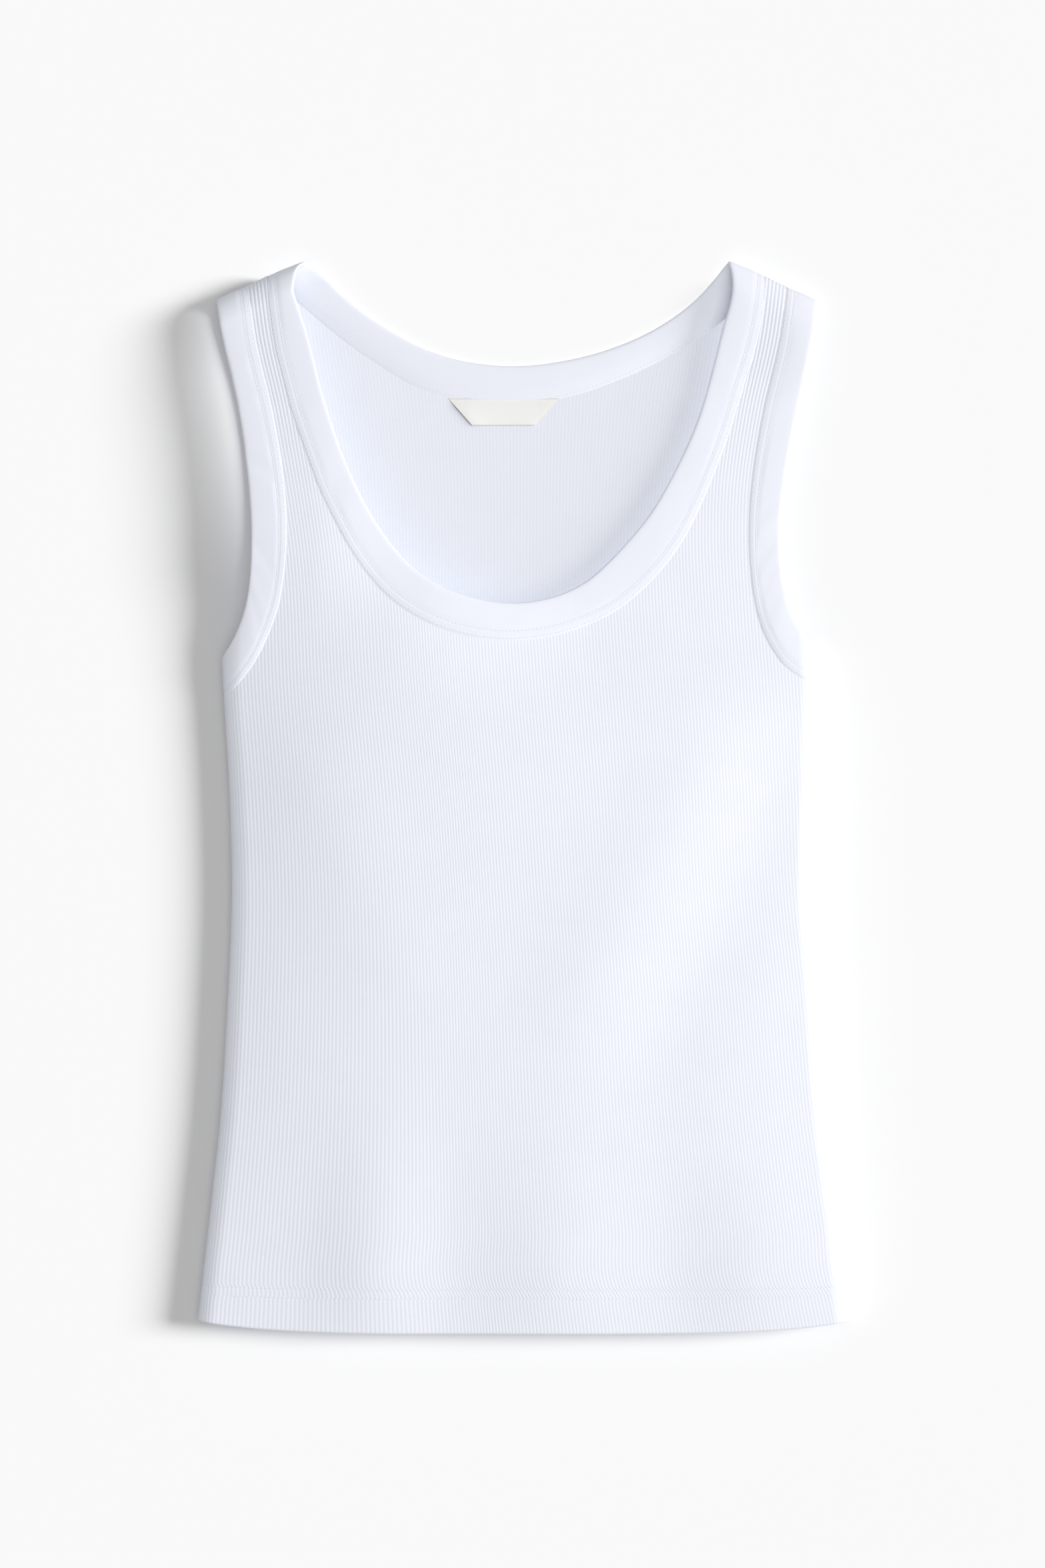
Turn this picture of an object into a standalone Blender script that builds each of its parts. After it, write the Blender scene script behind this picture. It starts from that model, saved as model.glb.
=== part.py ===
# Ribbed tank top laid flat, front up, neck toward +Y. Metres, +Z up, underside on z = 0.
import math

import bpy
import numpy as np

# ---- driving dimensions, metres unless a comment says otherwise ----
WALL = 0.0012  # knitted panel, without its raised ribs
RIB_RELIEF = 0.0004  # how far a rib stands out of the panel
RIBS = 190  # whole ribs across the front panel
HEM_DEPTH = 0.0220  # width of the turned-up hem
HEM_WALL = 0.0024  # two layers at the hem
HEM_STEP = 0.0005  # distance over which the hem's second layer ends
SEAM_GAP = 0.0005  # space between a panel and the band sewn to it
FOLD_GAP = 0.0003  # space between front and back along side and shoulder seams
BAND_PROUD = 0.0010  # binding above the panel's plain surface
BAND_BELOW = 0.0013  # binding below the panel's plain surface
FOLD_HEIGHT = 0.0065  # height of side and shoulder folds above the table
SIDE_RISE = 0.0060  # rise of the front from its side fold
FRONT_ROLL = 0.0100  # how far in from the side the front rolls over
BACK_ROLL = 0.0120  # the same for the back
SHOULDER_ROLL = 0.0140  # how far below the shoulder fold the front rolls over
BACK_SHOULDER_ROLL = 0.0100  # the same for the back
SHOULDER_TOP = 0.2927  # highest point of the shoulder fold
SHOULDER_MIDDLE = -0.0044  # x of the line between the shoulders
SHOULDER_START = 0.1194  # the fold slopes down from here, measured from that line
SHOULDER_SLOPE = 0.49  # drop for each metre outward
HEM_Y = -0.2927  # bottom of the front at its middle
HEM_RISE = 0.0068  # how much higher the hem's corners are
HEM_CURVE = 4.5  # power of the place across that the hem's edge rises with
BACK_HEM_SHORT = 0.0010  # the back ends this much above the front
LABEL_TOP, LABEL_FOOT, LABEL_DROP = 0.0606, 0.0343, 0.0150
LABEL_X, LABEL_Y = -0.0110, 0.2184  # middle of the label's upper edge, which lies on the neck binding
LABEL_WALL = 0.0008
LABEL_BASE = 0.0027  # height of the upper edge's underside
LABEL_TILT = -0.0008  # how much higher its lower edge is: it droops

# y, half width, centre line x, crown height (above the side rise)
BODY = (
    (-0.2930, 0.1790, 0.0001, 0.0030),
    (-0.2278, 0.1719, 0.0004, 0.0056),
    (-0.1694, 0.1655, 0.0002, 0.0074),
    (-0.1110, 0.1619, 0.0002, 0.0088),
    (-0.0526, 0.1588, -0.0007, 0.0098),
    (0.0058, 0.1602, -0.0007, 0.0102),
    (0.0642, 0.1624, -0.0018, 0.0090),
    (0.1000, 0.1624, -0.0022, 0.0070),
    (0.1445, 0.1624, -0.0022, 0.0048),
    (0.1734, 0.1650, -0.0022, 0.0038),
    (0.2099, 0.1726, -0.0022, 0.0030),
    (0.2508, 0.1847, -0.0022, 0.0026),
    (0.2796, 0.1898, -0.0022, 0.0024),
    (0.2940, 0.1920, -0.0022, 0.0022),
)
CROWN_POWER = 2.8  # how flat the crown is in the middle: a parabola has 2

# the front lies lower at its minus side: how much of the crown has fallen away there and at the other
FALL_MINUS, FALL_PLUS = 1.12, 0.50
FALL_HALF = 0.5  # the change from one to the other ends at this place across, on either side

# where the front lies lower again, as the share of its height that it loses
HEM_SETTLE, HEM_SETTLE_REACH = 0.40, 0.040  # at the hem, and how far up it is felt
TOP_SETTLE, TOP_SETTLE_START, TOP_SETTLE_REACH = 0.30, 0.215, 0.060  # on the shoulders, above a y
NECK_SETTLE, NECK_SETTLE_START, NECK_SETTLE_REACH = 0.62, 0.030, 0.075  # round the neck, above a y
NECK_SETTLE_PLACE, NECK_SETTLE_WIDE = -0.45, 0.75  # it grows from this place across, over this width
NECK_SETTLE_FADE = 0.045  # it ends over this distance below the shoulder's roll

# how much higher the strap on the minus side stands: above a y, and outside a place across
STRAP_RAISE, STRAP_RAISE_START, STRAP_RAISE_REACH = 0.0050, 0.080, 0.060
STRAP_RAISE_PLACE, STRAP_RAISE_WIDE = -0.35, 0.35

# place across the panel (-1 to 1 from side to side), height of a soft hem flute
FLUTES = (
    (-1.00, 0.0),
    (-0.69, -0.0012),
    (-0.47, 0.0016),
    (-0.23, -0.0013),
    (0.11, 0.0016),
    (0.47, -0.0014),
    (0.72, 0.0013),
    (1.00, 0.0),
)
FLUTE_TOP = -0.120  # flutes start here and are full at the hem

# where the strap's two seams run, as places across the panel
ARM_MINUS, NECK_MINUS, NECK_PLUS, ARM_PLUS = -0.777, -0.731, 0.712, 0.766
STRAP_SEAMS = (ARM_MINUS, NECK_MINUS, NECK_PLUS, ARM_PLUS)

# where these seams climb steeply: extra columns, and stretches that keep all their columns
STEEP_PLACES = (-0.7845, -0.7800, -0.7783, -0.7295, -0.7250, 0.7045, 0.7105, 0.7668, 0.7690, 0.7735)
STEEP_BANDS = ((-0.830, -0.776), (-0.732, -0.685), (0.640, 0.713), (0.765, 0.820))

# front neck seam between the straps: place across the panel, y
NECK_SEAM = (
    (-0.731, 0.2450),
    (-0.728, 0.2260),
    (-0.722, 0.2088),
    (-0.708, 0.1956),
    (-0.688, 0.1803),
    (-0.662, 0.1657),
    (-0.625, 0.1518),
    (-0.580, 0.1372),
    (-0.519, 0.1226),
    (-0.436, 0.1080),
    (-0.360, 0.0992),
    (-0.270, 0.0920),
    (-0.180, 0.0876),
    (-0.091, 0.0855),
    (-0.035, 0.0850),
    (0.044, 0.0860),
    (0.134, 0.0887),
    (0.224, 0.0936),
    (0.315, 0.1007),
    (0.373, 0.1075),
    (0.465, 0.1215),
    (0.546, 0.1390),
    (0.606, 0.1595),
    (0.650, 0.1810),
    (0.676, 0.2000),
    (0.691, 0.2190),
    (0.702, 0.2390),
    (0.709, 0.2550),
    (0.712, 0.2680),
)

# armhole seams below the straps: place across the panel, y
ARM_SEAM_MINUS = (
    (-1.0000, 0.0522),
    (-0.9860, 0.0545),
    (-0.9400, 0.0630),
    (-0.8920, 0.0732),
    (-0.8560, 0.0838),
    (-0.8330, 0.0925),
    (-0.8130, 0.1012),
    (-0.7990, 0.1110),
    (-0.7870, 0.1260),
    (-0.7800, 0.1420),
    (-0.7770, 0.1600),
)
ARM_SEAM_PLUS = (
    (1.0000, 0.0620),
    (0.9680, 0.0628),
    (0.9280, 0.0662),
    (0.8860, 0.0714),
    (0.8530, 0.0785),
    (0.8220, 0.0878),
    (0.8020, 0.0970),
    (0.7870, 0.1080),
    (0.7760, 0.1230),
    (0.7690, 0.1400),
    (0.7660, 0.1600),
)

# back neck seam from one shoulder to the other, millimetres: x, y
BACK_NECK_SEAM = (
    (-129.9, 275.9),
    (-118.3, 266.4),
    (-110.0, 259.2),
    (-100.7, 251.6),
    (-91.0, 244.4),
    (-80.3, 237.3),
    (-71.5, 231.6),
    (-62.8, 226.6),
    (-50.0, 221.4),
    (-33.0, 217.3),
    (-6.6, 215.3),
    (18.0, 217.6),
    (36.1, 222.4),
    (52.9, 228.7),
    (69.3, 236.1),
    (85.8, 245.0),
    (99.3, 253.6),
    (109.9, 261.6),
    (121.9, 271.6),
)

# free edges of the bindings, millimetres: x, y
NECK_FREE_FRONT = (
    (-119.0, 292.7),
    (-122.3, 290.0),
    (-125.0, 281.5),
    (-125.4, 275.9),
    (-123.6, 270.0),
    (-118.5, 254.0),
    (-114.6, 239.4),
    (-111.0, 224.8),
    (-106.6, 210.2),
    (-101.8, 195.6),
    (-96.3, 181.0),
    (-89.6, 166.4),
    (-81.6, 151.8),
    (-72.0, 137.8),
    (-60.4, 125.2),
    (-47.0, 116.2),
    (-32.0, 110.2),
    (-17.0, 106.8),
    (-5.0, 106.0),
    (7.0, 107.2),
    (20.0, 110.6),
    (33.0, 117.2),
    (46.0, 128.2),
    (58.4, 141.4),
    (69.5, 155.6),
    (78.5, 170.5),
    (86.0, 185.2),
    (92.7, 200.4),
    (97.6, 214.0),
    (100.9, 225.5),
    (103.7, 236.5),
    (109.1, 258.1),
    (112.3, 268.5),
    (113.7, 276.5),
    (113.4, 285.5),
    (111.7, 292.7),
)
NECK_FREE_BACK = (
    (-119.0, 292.7),
    (-115.7, 290.6),
    (-110.2, 285.4),
    (-98.5, 273.8),
    (-85.5, 263.2),
    (-72.3, 254.6),
    (-54.8, 245.4),
    (-37.2, 239.6),
    (-6.6, 235.9),
    (24.0, 239.1),
    (48.9, 245.9),
    (69.3, 254.8),
    (81.5, 262.2),
    (92.8, 271.0),
    (105.1, 284.4),
    (109.0, 289.6),
    (111.7, 292.7),
)
ARM_FREE_MINUS = (
    (-167.9, 271.0),
    (-165.0, 254.0),
    (-161.7, 239.4),
    (-158.2, 224.8),
    (-155.2, 210.2),
    (-152.9, 195.6),
    (-151.1, 181.0),
    (-149.6, 166.4),
    (-148.6, 151.8),
    (-148.4, 137.2),
    (-149.0, 122.6),
    (-150.9, 108.0),
    (-154.8, 94.6),
    (-159.6, 84.4),
    (-164.6, 77.0),
)
ARM_FREE_PLUS = (
    (160.2, 270.8),
    (158.0, 254.0),
    (155.3, 239.4),
    (152.2, 224.8),
    (149.2, 210.2),
    (146.4, 195.6),
    (143.8, 181.0),
    (141.6, 166.4),
    (140.0, 151.8),
    (139.7, 137.2),
    (140.9, 122.6),
    (143.9, 108.0),
    (149.2, 94.6),
    (155.0, 85.0),
    (160.2, 78.4),
)

# band across its width: place from seam (0) to free edge (1), height as a share of its two faces
BAND_SECTION = (
    (0.00, 0.70),
    (0.08, 1.00),
    (0.92, 0.95),
    (1.00, 0.00),
    (0.93, -1.00),
    (0.00, -1.00),
)

# y of the rows of points that columns share: those near a seam or a side take every row
STRAP_ROWS = (0.105, 0.125, 0.145, 0.162, 0.179, 0.196, 0.213, 0.230, 0.248)
FRONT_ROWS = (-0.215, -0.150, -0.075, 0.005, 0.065)
BACK_ROWS = (-0.200, -0.120, -0.040, 0.030, 0.075)
SIDE_ZONE = 0.90  # columns further across than this are near a side
MIDDLE_ZONE, STRAP_ZONE = 0.55, 0.80  # a plain surface's columns are spaced by zone, up to these places
FRONT_STEPS, BACK_STEPS = (8, 4, 4), (16, 8, 6)  # columns from one kept column to the next, by zone
ROW_CLEAR = 0.004  # a shared row is left out this near a column's end
ROLL_ANGLES = (90, 64, 42, 20)  # degrees round the shoulder roll, where it gets extra rows

# cross-sections of each binding: over a roll, two stretches between the rolls, over the other roll
NECK_STATIONS = ((5, 34, 34, 5), (4, 14, 14, 4))  # front, back
ARM_STATIONS = ((5, 15, 14, 5), (4, 12, 9, 4))
ARM_MIDDLE = 0.42  # share of the way from the side to the shoulder where the stretches meet
FOLD_PROUD = 0.5  # how proud a band is where it turns over a fold: 1 on the front, 0 under the back
BACK_TUCK = 0.09  # share of its width by which an armhole's back band is hidden by its front one


# ---- small curves ----
def curve(places, values):
    """Return a smooth function through the values at the rising places."""
    places, values = np.asarray(places, float), np.asarray(values, float)
    slopes = np.gradient(values, places)

    def value(place):
        place = np.clip(place, places[0], places[-1])
        k = np.clip(np.searchsorted(places, place) - 1, 0, len(places) - 2)
        step = places[k + 1] - places[k]
        u = (place - places[k]) / step
        return (
            (1 + 2 * u) * (1 - u) ** 2 * values[k]
            + u * (1 - u) ** 2 * step * slopes[k]
            + u * u * (3 - 2 * u) * values[k + 1]
            + u * u * (u - 1) * step * slopes[k + 1]
        )

    return value


BODY_Y = [row[0] for row in BODY]
half_width = curve(BODY_Y, [row[1] for row in BODY])
centre = curve(BODY_Y, [row[2] for row in BODY])
crown = curve(BODY_Y, [row[3] for row in BODY])
flute = curve([row[0] for row in FLUTES], [row[1] for row in FLUTES])
FOLD_COS = 1 / math.hypot(1, SHOULDER_SLOPE)
EPS = 1e-4  # step for slopes


def fold_y(x):
    """Return the y of the shoulder fold at x."""
    return SHOULDER_TOP - SHOULDER_SLOPE * max(abs(x - SHOULDER_MIDDLE) - SHOULDER_START, 0)


def across(place, y):
    """Return the x at a place across the panel."""
    return float(centre(y) + half_width(y) * place)


def place_of(x, y):
    """Return the place across the panel at x."""
    return float((x - centre(y)) / half_width(y))


def ease(value):
    """Return a smooth step from 0 at 0 to 1 at 1."""
    value = min(max(value, 0), 1)
    return value * value * (3 - 2 * value)


def fall(place):
    """Return the share of the crown that has fallen away before the side's roll starts."""
    return FALL_MINUS + (FALL_PLUS - FALL_MINUS) * ease((place + FALL_HALF) / (2 * FALL_HALF))


def dome(x, y):
    """Return how far the front is above the top of its side roll."""
    place = min(max(place_of(x, y), -1), 1)
    arch = 1 - abs(place) ** CROWN_POWER
    grown = ease((FLUTE_TOP - y) / (FLUTE_TOP - HEM_Y))
    settled = 1 - HEM_SETTLE * ease((HEM_Y + HEM_SETTLE_REACH - y) / HEM_SETTLE_REACH)
    raised = STRAP_RAISE * ease((y - STRAP_RAISE_START) / STRAP_RAISE_REACH)
    raised *= ease((STRAP_RAISE_PLACE - place) / STRAP_RAISE_WIDE)
    return (float(crown(y)) * fall(place) * arch + float(flute(place)) * grown) * settled + raised


def side_rise(x, y):
    """Return how high the front's side roll stands over the side fold."""
    return SIDE_RISE + float(crown(y)) * (1 - fall(place_of(x, y)))


def kept(x, y):
    """Return the share of its height that the front keeps on the shoulders and round the neck."""
    top = TOP_SETTLE * ease((y - TOP_SETTLE_START) / TOP_SETTLE_REACH)
    below = (fold_y(x) - y) * FOLD_COS - SHOULDER_ROLL
    neck = NECK_SETTLE * ease((y - NECK_SETTLE_START) / NECK_SETTLE_REACH)
    neck *= ease((place_of(x, y) - NECK_SETTLE_PLACE) / NECK_SETTLE_WIDE) * ease(below / NECK_SETTLE_FADE)
    return (1 - top) * (1 - neck)


def side_share(x, y, roll):
    """Return 0 where the cloth's roll at the side starts and 1 at the side fold."""
    return max((abs(x - float(centre(y))) - float(half_width(y))) / roll + 1, 0)


def shoulder_share(x, y, roll):
    """Return 0 where the cloth's roll at the shoulder starts and 1 at the shoulder fold."""
    return max(1 - (fold_y(x) - y) * FOLD_COS / roll, 0)


def slope(function, x, y, *more):
    """Return how fast a function of x and y grows along each."""
    return np.array(
        [
            (function(x + EPS, y, *more) - function(x - EPS, y, *more)) / (2 * EPS),
            (function(x, y + EPS, *more) - function(x, y - EPS, *more)) / (2 * EPS),
        ]
    )


def unit(vector):
    return vector / np.linalg.norm(vector)


def front_skin(x, y):
    """Return the front's outer point above (x, y) and the way it faces."""
    side = min(side_share(x, y, FRONT_ROLL), 1)
    top = min(shoulder_share(x, y, SHOULDER_ROLL), 1)
    bend = math.sqrt(1 - side * side)
    keep, edge = kept(x, y), side_rise(x, y)
    whole = dome(x, y) + edge * bend
    lift = whole * keep
    height = lift * math.sqrt(1 - top * top)
    climb = keep * (slope(dome, x, y) + bend * slope(side_rise, x, y)) + whole * slope(kept, x, y)
    if top > 0:
        plan = top * slope(shoulder_share, x, y, SHOULDER_ROLL) - height * height / lift**3 * climb
        up = height / lift**2
    else:
        up = bend / (edge * keep)
        plan = side * slope(side_share, x, y, FRONT_ROLL) - up * climb
    return np.array([x, y, FOLD_HEIGHT + height]), unit(np.array([plan[0], plan[1], up]))


def back_skin(x, y):
    """Return the back's outer point below (x, y) and the way it faces."""
    side, top = side_share(x, y, BACK_ROLL), shoulder_share(x, y, BACK_SHOULDER_ROLL)
    if top > side:
        share, plan = min(top, 1), slope(shoulder_share, x, y, BACK_SHOULDER_ROLL)
    else:
        share, plan = min(side, 1), slope(side_share, x, y, BACK_ROLL)
    drop = FOLD_HEIGHT * math.sqrt(1 - share * share)
    facing = np.array([share * plan[0], share * plan[1], -drop / FOLD_HEIGHT**2])
    return np.array([x, y, FOLD_HEIGHT - drop]), unit(facing)


# ---- seam lines, as rows of plan points from one end to the other ----
def smooth_path(points, count=600):
    """Return many plan points on a smooth line through the given ones, closest at its two ends."""
    points = np.asarray(points, float)
    length = np.concatenate([[0], np.cumsum(np.linalg.norm(np.diff(points, axis=0), axis=1))])
    share = (1 - np.cos(np.pi * np.linspace(0, 1, count))) / 2
    at = share * length[-1]
    return np.stack([curve(length, points[:, 0])(at), curve(length, points[:, 1])(at)], axis=1)


def fold_end(place):
    """Return the plan point where a line at this place across meets the shoulder fold."""
    y = SHOULDER_TOP
    for _ in range(20):
        y = fold_y(across(place, y))
    return across(place, y), y


def strap_line(place, low, gap=0.018):
    """Return plan points up a strap at one place across, from just above low to the shoulder fold."""
    end_x, end_y = fold_end(place)
    rows = np.arange(low + gap, end_y - gap / 2, gap)
    return [(across(place, y), float(y)) for y in rows] + [(end_x, end_y)]


def plan(rows):
    return [(across(place, y), y) for place, y in rows]


def metres(rows):
    return [(x / 1000, y / 1000) for x, y in rows]


neck_front = smooth_path(
    strap_line(NECK_MINUS, NECK_SEAM[0][1])[::-1]
    + plan(NECK_SEAM)
    + strap_line(NECK_PLUS, NECK_SEAM[-1][1])
)
neck_back = smooth_path([fold_end(NECK_MINUS)] + metres(BACK_NECK_SEAM) + [fold_end(NECK_PLUS)])
arm_minus = smooth_path(plan(ARM_SEAM_MINUS) + strap_line(ARM_MINUS, ARM_SEAM_MINUS[-1][1]))
arm_plus = smooth_path(plan(ARM_SEAM_PLUS) + strap_line(ARM_PLUS, ARM_SEAM_PLUS[-1][1]))


def edge_height(line, tops):
    """Return a function giving the y of a seam line at each place across.

    tops holds the y up to which the line is followed on the minus side and on the plus side.
    Above that y, the line only runs up a strap.
    """
    places = np.array([place_of(x, y) for x, y in line])
    keep = line[:, 1] <= np.where(places < 0, tops[0], tops[1]) + 1e-6
    order = np.argsort(places[keep], kind="stable")
    kept, heights = places[keep][order], line[keep][order][:, 1]
    return lambda place: float(np.interp(place, kept, heights))


# ---- meshes ----
def make(name, points, faces, material, collection):
    """Make one object whose faces all look out."""
    points = np.asarray(points, float)
    tri = np.array([face[:3] for face in faces])
    quads = [face for face in faces if len(face) > 3]
    more = np.array([(f[0], f[2], f[3]) for f in quads]).reshape(-1, 3).astype(int)
    a, b, c = (points[np.concatenate([tri, more])[:, k]] for k in range(3))
    if (a * np.cross(b, c)).sum() < 0:
        faces = [face[::-1] for face in faces]
    mesh = bpy.data.meshes.new(name)
    mesh.from_pydata([tuple(p) for p in points], [], [tuple(int(v) for v in f) for f in faces])
    mesh.materials.append(material)
    mesh.update()
    thing = bpy.data.objects.new(name, mesh)
    collection.objects.link(thing)
    return thing


def hem_low(place, short):
    """Return the y of the hem's edge."""
    return HEM_Y + short + HEM_RISE * abs(place) ** HEM_CURVE


def column_rows(place, tops, rows, roll, stepped, short):
    """Return the rising y values of one column's points."""
    low = hem_low(place, short)
    lifted = [low + HEM_DEPTH] + ([low + HEM_DEPTH + HEM_STEP] if stepped else [])
    top = max(tops)
    fold = fold_y(across(place, top))
    rolls = [fold - roll * (1 - math.cos(math.radians(a))) / FOLD_COS for a in ROLL_ANGLES]
    candidates = [y for y in rows if y < rolls[0] - ROW_CLEAR] + rolls
    ys = [low] + lifted
    for y in sorted(candidates):
        clear = ROW_CLEAR if y < rolls[0] - ROW_CLEAR else ROW_CLEAR / 8
        if y > ys[-1] + ROW_CLEAR / 4 and all(abs(y - t) > clear for t in tops) and y < top:
            ys.append(y)
    return sorted(ys + list(set(tops)))


def panel(name, zones, places, coarse, upper, lower, rows, roll, short, material, collection):
    """Make a panel as two surfaces of columns and a wall round its edge.

    zones: first place, last place and a function giving the edge's y, in rising order.
    """
    columns, fine_points, coarse_points = [], [], []
    fine_id, coarse_id = {}, {}
    for number, place in enumerate(places):
        tops = [edge(place) for first, last, edge in zones if first - 1e-9 <= place <= last + 1e-9]
        columns.append(column_rows(place, tops, rows(place), roll, number in coarse, short))
        for k, y in enumerate(columns[-1]):
            fine_id[number, k] = len(fine_points)
            fine_points.append(upper(place, y))
            if number in coarse:
                coarse_id[number, k] = len(coarse_points)
                coarse_points.append(lower(place, y))

    def upto(number, top):
        return [k for k, y in enumerate(columns[number]) if y <= top + 1e-9]

    def zip_columns(a, b, edge, ids, flip, faces):
        left, right = upto(a, edge(places[a])), upto(b, edge(places[b]))
        i = j = 0
        while i < len(left) - 1 or j < len(right) - 1:
            go_left = j == len(right) - 1 or (
                i < len(left) - 1 and columns[a][left[i + 1]] <= columns[b][right[j + 1]]
            )
            if go_left:
                face = (ids[a, left[i]], ids[b, right[j]], ids[a, left[i + 1]])
                i += 1
            else:
                face = (ids[a, left[i]], ids[b, right[j]], ids[b, right[j + 1]])
                j += 1
            faces.append(face[::-1] if flip else face)

    fine_faces, coarse_faces = [], []
    sparse = sorted(coarse)
    for first, last, edge in zones:
        inside = [n for n in range(len(places)) if first - 1e-9 <= places[n] <= last + 1e-9]
        for a, b in zip(inside, inside[1:]):
            zip_columns(a, b, edge, fine_id, False, fine_faces)
        inside = [n for n in sparse if first - 1e-9 <= places[n] <= last + 1e-9]
        for a, b in zip(inside, inside[1:]):
            zip_columns(a, b, edge, coarse_id, True, coarse_faces)

    # the edge, once round: hem, one side, the top edge back, the other side
    loop = [(n, 0) for n in range(len(places))]
    loop += [(len(places) - 1, k) for k in range(1, len(columns[-1]))]
    for first, last, edge in zones[::-1]:
        for n in range(len(places) - 1, -1, -1):
            if not first - 1e-9 <= places[n] <= last + 1e-9:
                continue
            k = upto(n, edge(places[n]))[-1]
            while loop[-1][0] == n and loop[-1][1] != k:
                loop.append((n, loop[-1][1] + (1 if k > loop[-1][1] else -1)))
            if loop[-1] != (n, k):
                loop.append((n, k))
    loop += [(0, k) for k in range(len(columns[0]) - 2, 0, -1)]
    shift = len(fine_points)
    stops = [i for i, (n, k) in enumerate(loop) if n in coarse]
    wall = []
    for start, end in zip(stops, stops[1:] + [stops[0] + len(loop)]):
        chain = [fine_id[loop[i % len(loop)]] for i in range(start, end + 1)]
        inner = [shift + coarse_id[loop[i % len(loop)]] for i in (start, end)]
        middle = (len(chain) - 1) // 2
        for i in range(len(chain) - 1):
            wall.append((chain[i + 1], chain[i], inner[0] if i < middle else inner[1]))
        wall.append((inner[0], inner[1], chain[middle]))
    coarse_faces = [tuple(v + shift for v in face) for face in coarse_faces]
    faces = fine_faces + coarse_faces + wall
    return make(name, fine_points + coarse_points, faces, material, collection)


def skin_line(skin, line):
    """Return the points and facings of a plan line laid on a skin, and the length along it."""
    laid = [skin(float(x), float(y)) for x, y in line]
    points = np.array([point for point, _ in laid])
    length = np.concatenate([[0], np.cumsum(np.linalg.norm(np.diff(points, axis=0), axis=1))])
    return points, np.array([facing for _, facing in laid]), length


def stations(skin, line, marks, counts):
    """Return evenly spaced points and facings between marks (indexes into the line)."""
    points, facings, length = skin_line(skin, line)
    at = []
    for a, b, count in zip(marks, marks[1:], counts):
        at += list(np.linspace(length[a], length[b], count, endpoint=False))
    at.append(length[marks[-1]])
    points, facings = (
        np.stack([np.interp(at, length, many[:, k]) for k in range(3)], axis=1)
        for many in (points, facings)
    )
    return points, np.array([unit(facing) for facing in facings])


def neck_marks(line, roll):
    """Return a neck line's ends, where it leaves each shoulder roll, and its lowest point."""
    shares = [shoulder_share(x, y, roll) for x, y in line]
    leaves = next(i for i, share in enumerate(shares) if share <= 0)
    meets = len(line) - 1 - next(i for i, share in enumerate(shares[::-1]) if share <= 0)
    return [0, leaves, int(np.argmin(line[:, 1])), meets, len(line) - 1]


def arm_marks(line, side_roll, top_roll):
    """Return an armhole line's ends, from side to shoulder, with its rolls and a middle."""
    leaves = next(i for i, (x, y) in enumerate(line) if side_share(x, y, side_roll) <= 0)
    meets = next(i for i, (x, y) in enumerate(line) if shoulder_share(x, y, top_roll) > 0) - 1
    length = np.concatenate([[0], np.cumsum(np.linalg.norm(np.diff(line, axis=0), axis=1))])
    middle = int(np.searchsorted(length, length[leaves] * (1 - ARM_MIDDLE) + length[meets] * ARM_MIDDLE))
    return [0, leaves, middle, meets, len(line) - 1]


def band(name, rings, material, collection):
    """Make a closed band from (seam points, facings, free points, facings, proud share) runs."""
    points, faces = [], []
    for seam, seam_facing, free, free_facing, proud in rings:
        for k in range(len(seam)):
            out = free[k] - seam[k]
            start = seam[k] + unit(out) * SEAM_GAP
            thick = BAND_PROUD + BAND_BELOW
            for place, share in BAND_SECTION:
                facing = unit((1 - place) * seam_facing[k] + place * free_facing[k])
                above = BAND_PROUD * proud[k]
                height = above - thick * (1 - share) / 2
                points.append(start + (free[k] - start) * place + facing * height)
    ring = len(BAND_SECTION)
    count = len(points) // ring
    for k in range(count):
        for m in range(ring):
            a, b = k * ring + m, k * ring + (m + 1) % ring
            after = (k + 1) % count * ring
            c, d = after + (m + 1) % ring, after + m
            faces += [(a, b, c), (a, c, d)]
    return make(name, points, faces, material, collection)


def band_run(skin, seam, free, marks_of, counts, front):
    """Return a band's run along one skin: seam and free points, their facings and proud shares."""
    lines = []
    for line in (seam, free):
        lines += stations(skin, line, marks_of(line), counts)
    full = 1.0 if front else 0.0
    share = np.full(len(lines[0]), full)
    first, last = counts[0] + 1, counts[-1] + 1
    share[:first] = np.linspace(FOLD_PROUD, full, first)
    share[-last:] = np.linspace(full, FOLD_PROUD, last)
    return [*lines, share]


def material(name, colour, roughness, sheen):
    made = bpy.data.materials.new(name)
    made.use_nodes = True
    shader = made.node_tree.nodes["Principled BSDF"]
    shader.inputs["Base Color"].default_value = (*colour, 1)
    shader.inputs["Roughness"].default_value = roughness
    shader.inputs["Sheen Weight"].default_value = sheen
    return made


# ---- build ----
for thing in list(bpy.data.objects):
    bpy.data.objects.remove(thing, do_unlink=True)
garment = bpy.data.collections.new("ribbed_tank_top")
bpy.context.scene.collection.children.link(garment)
rib_cotton = material("cotton_rib_white", (0.83, 0.85, 0.91), 0.92, 0.2)
binding_cotton = material("cotton_binding_white", (0.85, 0.87, 0.92), 0.9, 0.2)
label_satin = material("label_satin_white", (0.86, 0.86, 0.84), 0.55, 0.0)

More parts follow.
